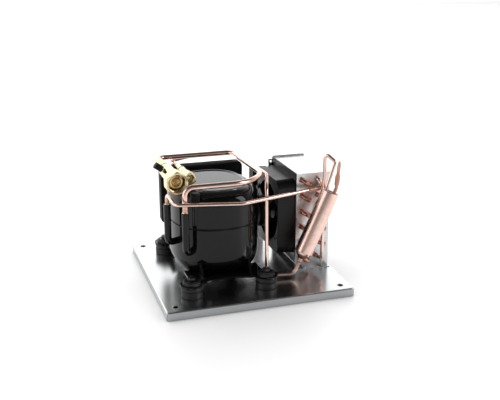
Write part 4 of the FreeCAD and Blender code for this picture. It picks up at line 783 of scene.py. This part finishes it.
@dataclass
class Compressor(SubAssembly):
    """Welded shell with its rails, stubs and charging cap, and the pump inside it."""

    half: Range = (77.5, 88.0)
    squareness: float = 2.4
    steps: int = 96
    seam: float = 120.0
    lip_pitch: float = 1.5
    lip_sink: float = 0.25
    lip_radius: float = 0.6
    top: float = 182.5
    bead_inset: float = 22.0
    bead_sink: float = 1.3
    bead_radius: float = 2.9
    stubs: tuple[Place, ...] = ((-112.0, -85.0, 154.0), (-134.0, -44.0, 159.0))
    stub_radius: float = 6.1
    mouth: Profile = ((-1.1, 0.1), (0.05, -3.2), (0.45, -2.4), (0.45, -0.5), (-0.1, 0.25))

    def outline(self, outset: float, z: float) -> list[Vector]:
        """Draw the shell's outline at a height.

        Args:
            outset: Millimetres outside the shell's wall.
            z: Height of the outline.

        Returns:
            Points round the shell.
        """
        power = 2.0 / self.squareness
        points = []
        for step in range(self.steps):
            angle = math.tau * step / self.steps
            c, s = math.cos(angle), math.sin(angle)
            points.append(Vector((
                SHELL_MIDDLE[0] + (self.half[0] + outset) * math.copysign(abs(c) ** power, c),
                SHELL_MIDDLE[1] + (self.half[1] + outset) * math.copysign(abs(s) ** power, s), z)))
        return points

    def seam_lips(self) -> Piece:
        """Run the rolled lips of the two cups above and below the welded seam.

        Returns:
            Both lips.
        """
        form = Form()
        for rise in (-self.lip_pitch, self.lip_pitch):
            path = self.outline(-self.lip_sink, self.seam + rise)
            form.sweep(path, self.lip_radius, sides=8, looped=True)
        return form.piece("seam_lips")

    def dome_bead(self) -> Piece:
        """Return the pressed ridge round the flat top of the dome."""
        path = self.outline(-self.bead_inset, self.top - self.bead_sink)
        return Form().sweep(path, self.bead_radius, sides=24, looped=True).piece("dome_bead")

    def stub_mouths(self) -> Piece:
        """Turn the rolled rims at the tops of the two steel stubs.

        Returns:
            Both rims.
        """
        form = Form()
        for place in self.stubs:
            form.turn(self.mouth, Vector(place), AXIS_Z, sides=32, radius=self.stub_radius)
        return form.piece("stub_mouths")

    def build(self) -> None:
        """Make and dress the compressor."""
        self.dress(FINISH.enamel, "compressor_lower_shell", "compressor_upper_shell", "foot_rails",
                   "suction_stub", "discharge_stub", "process_stub", "terminal_fence")
        self.dress(FINISH.weld, "shell_seam_weld")
        self.dress(FINISH.plastic, "process_cap")
        self.dress(FINISH.steel, "terminal_pins", "crankshaft", "suspension_springs")
        self.dress(FINISH.iron, "motor_stator", "motor_rotor", "cylinder_block", "cylinder_head",
                   "piston")
        self.add(self.seam_lips(), FINISH.enamel, "black_enamel")
        self.add(self.dome_bead(), FINISH.rubbed, "black_enamel")
        self.add(self.stub_mouths(), FINISH.enamel, "black_enamel")


@dataclass
class Feet(SubAssembly):
    """Four rubber grommets with their bolts."""

    pitch: Range = (132.0, 214.0)
    head_top: float = 48.9
    head_face: Profile = ((0.0, -0.4), (5.6, -0.4), (5.4, 0.1), (4.2, 0.35), (0.0, 0.45))
    thread_start: float = 5.9
    thread_radius: float = 3.9
    thread_pitch: float = 1.25
    thread_length: float = 1.4
    thread_depth: float = 0.25

    def places(self, z: float) -> list[Vector]:
        """Return points on the axes of the four feet, at a height."""
        return [Vector((SHELL_MIDDLE[0] + sx * self.pitch[0] / 2,
                        SHELL_MIDDLE[1] + sy * self.pitch[1] / 2, z))
                for sy in (-1, 1) for sx in (-1, 1)]

    def head_marks(self) -> Piece:
        """Turn the domed faces on the bolt heads.

        Returns:
            The four faces.
        """
        form = Form()
        for place in self.places(self.head_top):
            form.turn(self.head_face, place, AXIS_Z, sides=28)
        return form.piece("bolt_head_faces")

    def threads(self) -> Piece:
        """Cut the threads of the bolts below the deck.

        Returns:
            The four threads.
        """
        form = Form()
        for place in self.places(self.thread_start):
            form.thread(place, AXIS_Z, self.thread_radius, self.thread_pitch, self.thread_length,
                        self.thread_depth)
        return form.piece("bolt_threads")

    def build(self) -> None:
        """Make and dress the feet."""
        self.dress(FINISH.rubber, "foot_grommets")
        self.dress(FINISH.dark_steel, "foot_sleeves", "foot_washers", "foot_bolts", "foot_nuts")
        self.add(self.head_marks(), FINISH.dark_steel, "steel")
        self.add(self.threads(), FINISH.dark_steel, "steel")


@dataclass
class CopperLines(SubAssembly):
    """Suction, hot gas and liquid tubes with their brazed joints.

    Attributes:
        fillet: Radius beyond the tube, share of the foot's width beside it, and height.
        waves: Size, number round the tube and slant of the fillet's uneven edge.
    """

    suction_radius: float = 4.76
    liquid_radius: float = 3.175
    drier_tilt: float = 24.1
    fillet: tuple[Place, ...] = ((-0.3, 0.0, -0.4), (0.0, 1.0, -0.4), (0.0, 0.75, 0.35),
                                 (0.0, 0.35, 0.9), (0.12, 0.0, 1.9), (-0.3, 0.0, 1.9))
    waves: tuple[Place, ...] = ((0.12, 3.0, 1.0), (0.08, 7.0, 0.0))

    def uneven(self, angle: float, height: float) -> float:
        """Return how far the fillet swells at an angle and height."""
        return sum(size * math.sin(count * angle + slant * height)
                   for size, count, slant in self.waves)

    def joints(self) -> Piece:
        """Turn every brazed fillet of the lines.

        Returns:
            The five fillets.
        """
        form = Form()
        tilt = math.radians(self.drier_tilt)
        down = Vector((-math.sin(tilt), 0.0, -math.cos(tilt)))
        for place, axis, tube, foot in (
                ((-112.0, -85.0, 154.0), AXIS_Z, self.suction_radius, 1.3),
                ((-134.0, -44.0, 159.0), AXIS_Z, self.liquid_radius, 1.6),
                ((-117.5, 92.0, 197.0), AXIS_Y, self.suction_radius, 1.8),
                ((-90.0, 62.0, 195.5), AXIS_Y, self.liquid_radius, 1.3),
                ((91.0, -90.5, 45.0), down, self.liquid_radius, 1.1)):
            profile = [(out + share * foot, height) for out, share, height in self.fillet]
            form.turn(profile, Vector(place), axis, sides=28, radius=tube, ripple=self.uneven)
        return form.piece("brazed_joints")

    def build(self) -> None:
        """Make and dress the lines."""
        self.dress(FINISH.copper, "suction_line", "discharge_line", "liquid_line",
                   "condenser_outlet_line", "coil_inlet_elbow")
        self.dress(FINISH.tarnished, "drier_process_tube")
        self.add(self.joints(), FINISH.braze, "copper")


@dataclass
class FilterDrier(SubAssembly):
    """Spun copper drier."""

    def build(self) -> None:
        """Dress the drier."""
        self.dress(FINISH.drier, "drier_shell")
        self.dress(FINISH.desiccant, "drier_core")


@dataclass
class Coil(SubAssembly):
    """Finned condenser coil between two end plates."""

    left: float = 98.0
    right: float = 161.5
    front: float = -52.0
    back: float = 75.0
    sheet: float = 1.2
    low: float = 25.5
    high: float = 192.5
    fin_inset: float = 1.0
    fin_pitch: float = 1.9
    fin_sheet: float = 0.16
    fin_sharp: float = 20.0
    ripple: float = 0.35
    ripple_pitch: float = 3.0
    tube: float = 3.5
    columns: tuple[float, ...] = (107.0, 122.0, 137.0, 152.0)
    first_row: float = 183.0
    row_pitch: float = 29.0
    stagger: float = 9.0
    rows: int = 6
    bell: Profile = ((-0.1, 0.0), (0.6, 0.0), (0.7, 1.6), (1.1, 3.0), (0.9, 3.3), (-0.1, 3.0))
    drawn: Profile = ((0.0, -0.2), (1.6, -0.2), (1.0, 0.35), (0.6, 0.9), (0.0, 0.9))

    def fin_pack(self) -> Piece:
        """Fold the pack of thin rippled fins.

        Returns:
            All the fins.
        """
        form = Form()
        width = self.right - self.left - 2 * self.fin_inset
        steps = int(width / self.ripple_pitch)
        count = int((self.back - self.front - self.sheet) / self.fin_pitch)
        rise = AXIS_Z * (self.high - self.low)
        for k in range(count):
            y = self.front + self.sheet + (k + 0.5) * self.fin_pitch
            line = [Vector((self.left + self.fin_inset + width * s / steps,
                            y + self.ripple * (s % 2), self.low)) for s in range(steps + 1)]
            foot = line + [p + AXIS_Y * self.fin_sheet for p in reversed(line)]
            form.loft([foot, [p + rise for p in foot]])
        return form.piece("rippled_fins", self.fin_sharp)

    def places(self) -> list[Range]:
        """Find the tubes in the end plates; the first and last rows have one less.

        Returns:
            Their x and z.
        """
        found = []
        for row in range(self.rows):
            for column, x in enumerate(self.columns):
                if column < len(self.columns) - 1 or 0 < row < self.rows - 1:
                    drop = self.row_pitch * row + self.stagger * (column % 2)
                    found.append((x, self.first_row - drop))
        return found

    def rings(self, name: str, profile: Profile) -> Piece:
        """Turn rings round the tubes, outside both end plates.

        Args:
            name: Name of the piece.
            profile: Radius beyond the tube and height on the plate.

        Returns:
            All the rings.
        """
        form = Form()
        for x, z in self.places():
            for y, axis in ((self.front, -AXIS_Y), (self.back + self.sheet, AXIS_Y)):
                form.turn(profile, Vector((x, y, z)), axis, sides=24, radius=self.tube)
        return form.piece(name)

    def build(self) -> None:
        """Make and dress the coil."""
        self.dress(FINISH.galvanised, "coil_front_plate", "coil_rear_plate", "coil_side_panels")
        self.dress(FINISH.bends, "coil_return_bends", "coil_tubes")
        self.dress(FINISH.aluminium, "coil_fins")
        self.dress(FINISH.steel, "deck_screws")
        self.add(self.fin_pack(), FINISH.aluminium, "aluminium", ("coil_fins",))
        self.add(self.rings("tube_collars", self.bell), FINISH.bends, "copper")
        self.add(self.rings("plate_collars", self.drawn), FINISH.galvanised, "galvanised")


@dataclass
class FanAssembly(SubAssembly):
    """Drawn shroud, motor on its spider, and the fan."""

    flange_x: float = 96.5
    front: float = -52.0
    back: float = 74.95
    low: float = 37.0
    high: float = 195.5
    screw_inset: float = 2.6
    screw_margin: float = 12.0
    screw_head: Profile = ((0.0, -0.2), (3.2, -0.2), (3.2, 0.4), (2.8, 1.2), (1.8, 1.8),
                           (0.8, 2.0), (0.0, 2.0))

    def flange_screws(self) -> Piece:
        """Turn the pan-head screws that hold the shroud's flange to the coil.

        Returns:
            The six heads.
        """
        form = Form()
        rows = (self.low + self.screw_margin, (self.low + self.high) / 2,
                self.high - self.screw_margin)
        for y in (self.front + self.screw_inset, self.back - self.screw_inset):
            for z in rows:
                form.turn(self.screw_head, Vector((self.flange_x, y, z)), -AXIS_X, sides=20)
        return form.piece("shroud_screws")

    def build(self) -> None:
        """Make and dress the fan."""
        self.dress(FINISH.satin, "fan_shroud", "fan_motor_spider")
        self.dress(FINISH.plastic, "fan_motor", "fan_blade")
        self.dress(FINISH.steel, "fan_motor_shaft")
        self.add(self.flange_screws(), FINISH.dark_steel, "steel")


@dataclass
class Boxes(SubAssembly):
    """Electrical box on the compressor's back and the control box behind the coil.

    Attributes:
        panel: Inset and height of each step of the raised panel's edge.
        quarters: The corners in order, as seen from behind.
    """

    left: float = -118.0
    right: float = 41.0
    back: float = 110.0
    low: float = 78.0
    high: float = 187.5
    split: float = 93.0
    corner: float = 9.0
    flash: float = 0.35
    panel_inset: float = 20.0
    panel_corner: float = 7.0
    panel: Profile = ((0.0, -0.3), (0.0, 0.0), (0.35, 0.84), (1.12, 1.4))
    quarters: tuple[tuple[int, int], ...] = ((1, 1), (-1, 1), (-1, -1), (1, -1))

    def outline(self, inset: float, corner: float, y: float, steps: int) -> list[Vector]:
        """Draw an oblong with round corners inside the electrical box's outline.

        Args:
            inset: Distance inside that outline.
            corner: Radius of the corners.
            y: Where it lies from front to back.
            steps: Steps round each corner.

        Returns:
            Points round the oblong.
        """
        half_x = (self.right - self.left) / 2 - inset - corner
        half_z = (self.high - self.low) / 2 - inset - corner
        points = []
        for quarter, (sx, sz) in enumerate(self.quarters):
            for step in range(steps + 1):
                angle = math.pi / 2 * (quarter + step / steps)
                x = (self.left + self.right) / 2 + sx * half_x + corner * math.cos(angle)
                z = (self.low + self.high) / 2 + sz * half_z + corner * math.sin(angle)
                points.append(Vector((x, y, z)))
        return points

    def cover_panel(self) -> Piece:
        """Raise the panel moulded on the cover.

        Returns:
            The panel.
        """
        rings = [self.outline(self.panel_inset + inset, self.panel_corner - inset,
                              self.back + height, steps=5) for inset, height in self.panel]
        return Form().loft(rings).piece("cover_panel")

    def parting_line(self) -> Piece:
        """Return the fine flash line between the box's two halves."""
        path = self.outline(0.0, self.corner, self.split, steps=6)
        return Form().sweep(path, self.flash, sides=6, looped=True).piece("box_parting_line")

    def build(self) -> None:
        """Make and dress the boxes."""
        self.dress(FINISH.plastic, "electrical_box_base", "electrical_box_cover",
                   "control_box_base", "control_box_cover", "cable_gland")
        self.dress(FINISH.relay, "starting_relay")
        self.dress(FINISH.steel, "box_cover_screws")
        self.dress(FINISH.galvanised, "control_box_bracket")
        self.add(self.cover_panel(), FINISH.plastic, "black_plastic")
        self.add(self.parting_line(), FINISH.plastic, "black_plastic")


@dataclass(frozen=True)
class Coupling:
    """Sizes of one quick coupling.

    Attributes:
        line: Name of its line.
        mouth: Middle of the nut's mouth.
        bore: Radius of the nut's bore.
        bore_depth: Depth of that bore.
        valve_depth: How far the valve's face lies behind the mouth.
        seal: Radius of the valve's sealing ring.
        spring_back: Place of the spring's seat from front to back.
        coil: Radius of the spring's winding.
        wire: Radius of its wire.
    """

    line: str
    mouth: Place
    bore: float
    bore_depth: float
    valve_depth: float
    seal: float
    spring_back: float
    coil: float
    wire: float


@dataclass
class Couplings(SubAssembly):
    """Two self-sealing quick couplings with swivelling nuts and sprung valves."""

    pair: tuple[Coupling, ...] = (
        Coupling("suction", (-117.5, -57.0, 197.0), 15.7, 10.0, 11.5, 5.6, -17.75, 5.1, 1.0),
        Coupling("liquid", (-90.0, -30.0, 195.5), 8.5, 8.0, 9.5, 3.0, 7.0, 2.9, 0.6))
    thread_start: float = 1.6
    thread_short: float = 3.0
    thread_gap: float = 0.05
    thread_pitch: float = 1.5
    thread_depth: float = -0.7
    seal_ring: Profile = ((-0.9, 0.4), (-0.6, -0.2), (0.0, -0.4), (0.6, -0.2), (0.9, 0.4))
    spring_length: float = 19.7
    spring_turns: float = 5.5
    spring_steps: int = 132
    valve_travel: float = 5.0

    def nut_thread(self, one: Coupling) -> Piece:
        """Cut the thread inside one nut.

        Args:
            one: The coupling.

        Returns:
            The thread.
        """
        start = Vector(one.mouth) + AXIS_Y * self.thread_start
        form = Form().thread(start, AXIS_Y, one.bore + self.thread_gap, self.thread_pitch,
                             one.bore_depth - self.thread_short, self.thread_depth)
        return form.piece(f"{one.line}_nut_thread")

    def valve_seal(self, one: Coupling) -> Piece:
        """Turn the sealing ring round one valve's face.

        Args:
            one: The coupling.

        Returns:
            The ring.
        """
        origin = Vector(one.mouth) + AXIS_Y * one.valve_depth
        form = Form().turn(self.seal_ring, origin, AXIS_Y, sides=36, radius=one.seal)
        return form.piece(f"{one.line}_valve_seal")

    def valve_spring(self, one: Coupling) -> None:
        """Wind the spring behind one valve.

        Args:
            one: The coupling.
        """
        back = Vector((one.mouth[0], one.spring_back, one.mouth[2]))
        run = self.spring_length - 2 * one.wire
        path = []
        for step in range(self.spring_steps + 1):
            share = step / self.spring_steps
            angle = math.tau * self.spring_turns * share
            path.append(back + Vector((one.coil * math.cos(angle), -one.wire - run * share,
                                       one.coil * math.sin(angle))))
        spring = Form().sweep(path, one.wire, sides=8).piece(f"{one.line}_valve_spring")
        self.add(spring, FINISH.steel, "steel", (f"{one.line}_poppet_spring",))
        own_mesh(spring)

    def build(self) -> None:
        """Make and dress the couplings."""
        self.dress(FINISH.plastic, "service_port_cap")
        for one in self.pair:
            self.dress(FINISH.brass, f"{one.line}_coupling_body", f"{one.line}_coupling_nut",
                       f"{one.line}_poppet")
            self.dress(FINISH.steel, f"{one.line}_poppet_spring")
        for one in self.pair:
            self.add(self.nut_thread(one), FINISH.brass, "brass", body=f"{one.line}_nut")
        for one in self.pair:
            self.add(self.valve_seal(one), FINISH.brass, "brass", body=f"{one.line}_valve")
        for one in self.pair:
            self.valve_spring(one)


@dataclass(frozen=True)
class SoftBox:
    """One soft box light.

    Attributes:
        name: Name of the light.
        place: Its middle, in millimetres.
        aim: The point that it faces.
        size: Width and height in metres.
        power: Watts.
        mirrored: False where glossy things don't show it.
    """

    name: str
    place: Place
    aim: Place
    size: Range
    power: float
    mirrored: bool = True

    def hang(self) -> None:
        """Hang the light in the room."""
        data = bpy.data.lights.new(self.name, "AREA")
        data.shape = "RECTANGLE"
        data.size, data.size_y = self.size
        data.energy = self.power
        lamp = linked(self.name, data)
        lamp.visible_glossy = self.mirrored
        lamp.location = Vector(self.place) * MM
        lamp.rotation_mode = "QUATERNION"
        lamp.rotation_quaternion = (Vector(self.aim) - Vector(self.place)).to_track_quat("-Z", "Y")


@dataclass
class Studio:
    """Pale floor, soft lights and the camera.

    Attributes:
        horizon: Directions from front to back between which the room brightens.
        strength: Brightness of the room in front and behind.
        ceiling: Directions from level to upright between which the room darkens.
        overhead: Share of the brightness that stays at those two.
    """

    camera_place: Place = (-388.79, -1299.53, 570.57)
    yaw: float = 17.787
    pitch: float = 17.599
    lens: float = 56.72
    sensor: float = 36.0
    farthest: float = 100.0
    floor_half: float = 7000.0
    floor_depth: float = 40.0
    floor_patches: Lumps = Lumps(0.8, 2.0)
    floor_colours: tuple[Colour, Colour] = (grey(0.84), grey(0.86))
    floor_gloss: float = 0.45
    floor_ior: float = 2.0
    horizon: Range = (-0.3, 0.9)
    strength: Range = (0.32, 2.1)
    ceiling: Range = (0.4, 0.75)
    overhead: Range = (1.0, 0.15)
    lights: tuple[SoftBox, ...] = (
        SoftBox("overhead_box", (0.0, 3300.0, 3200.0), (0.0, 3300.0, 0.0), (12.0, 8.2), 530.0,
                mirrored=False),
        SoftBox("left_box", (-1500.0, -300.0, 700.0), (0.0, 0.0, 90.0), (1.2, 1.4), 5.0),
        SoftBox("right_box", (1300.0, -900.0, 900.0), (0.0, 0.0, 90.0), (0.5, 1.3), 8.0))

    def floor(self) -> None:
        """Lay the floor."""
        foot = [Vector((sx * self.floor_half, sy * self.floor_half, -self.floor_depth))
                for sx, sy in ((-1, -1), (1, -1), (1, 1), (-1, 1))]
        top = [p + AXIS_Z * self.floor_depth for p in foot]
        floor = Form().loft([foot, top]).piece("studio_floor")
        material = bpy.data.materials.new("studio_floor")
        graph = Graph(material)
        graph.fix(Metallic=0.0, Roughness=self.floor_gloss, IOR=self.floor_ior)
        clouds = graph.noise(self.floor_patches)
        graph.drive("Base Color", graph.blend(clouds, *self.floor_colours))
        floor.data.materials.append(material)

    def world(self) -> None:
        """Fill the room with soft light, brighter low behind than in front and overhead."""
        world = bpy.data.worlds.new("studio")
        bpy.context.scene.world = world
        world.use_nodes = True
        tree = world.node_tree
        tree.nodes.clear()
        place, split, share, background, output = (
            tree.nodes.new("ShaderNode" + kind)
            for kind in ("TexCoord", "SeparateXYZ", "Math", "Background", "OutputWorld"))
        share.operation = "MULTIPLY"
        join = tree.links.new
        join(place.outputs["Generated"], split.inputs[0])
        join(mapped(tree, split.outputs["Y"], self.horizon, self.strength), share.inputs[0])
        join(mapped(tree, split.outputs["Z"], self.ceiling, self.overhead), share.inputs[1])
        join(share.outputs[0], background.inputs["Strength"])
        join(background.outputs[0], output.inputs["Surface"])

    def camera(self) -> None:
        """Stand the camera where the photograph was taken from."""
        data = bpy.data.cameras.new("camera")
        data.lens = self.lens
        data.sensor_width = self.sensor
        data.clip_end = self.farthest
        camera = linked("camera", data)
        yaw, pitch = math.radians(self.yaw), math.radians(self.pitch)
        level = math.cos(pitch)
        aim = Vector((math.sin(yaw) * level, math.cos(yaw) * level, -math.sin(pitch)))
        camera.location = Vector(self.camera_place) * MM
        camera.rotation_mode = "QUATERNION"
        camera.rotation_quaternion = aim.to_track_quat("-Z", "Y")
        bpy.context.scene.camera = camera

    def build(self) -> None:
        """Set up the studio."""
        bpy.context.scene.view_settings.view_transform = "Standard"
        self.camera()
        self.world()
        self.floor()
        for box in self.lights:
            box.hang()


def main() -> None:
    """Build the studio and every sub-assembly in order."""
    logging.basicConfig(level=logging.INFO, format="%(message)s")
    Studio().build()
    groups: tuple[SubAssembly, ...] = (
        Tray(), Compressor(), Feet(), CopperLines(), FilterDrier(), Coil(), FanAssembly(), Boxes(),
        Couplings())
    for group in groups:
        group.build()
        for piece in group.made:
            log.info("%s: %s, %d faces", type(group).__name__, piece.name,
                     len(piece.data.polygons))


if __name__ == "__main__":
    main()
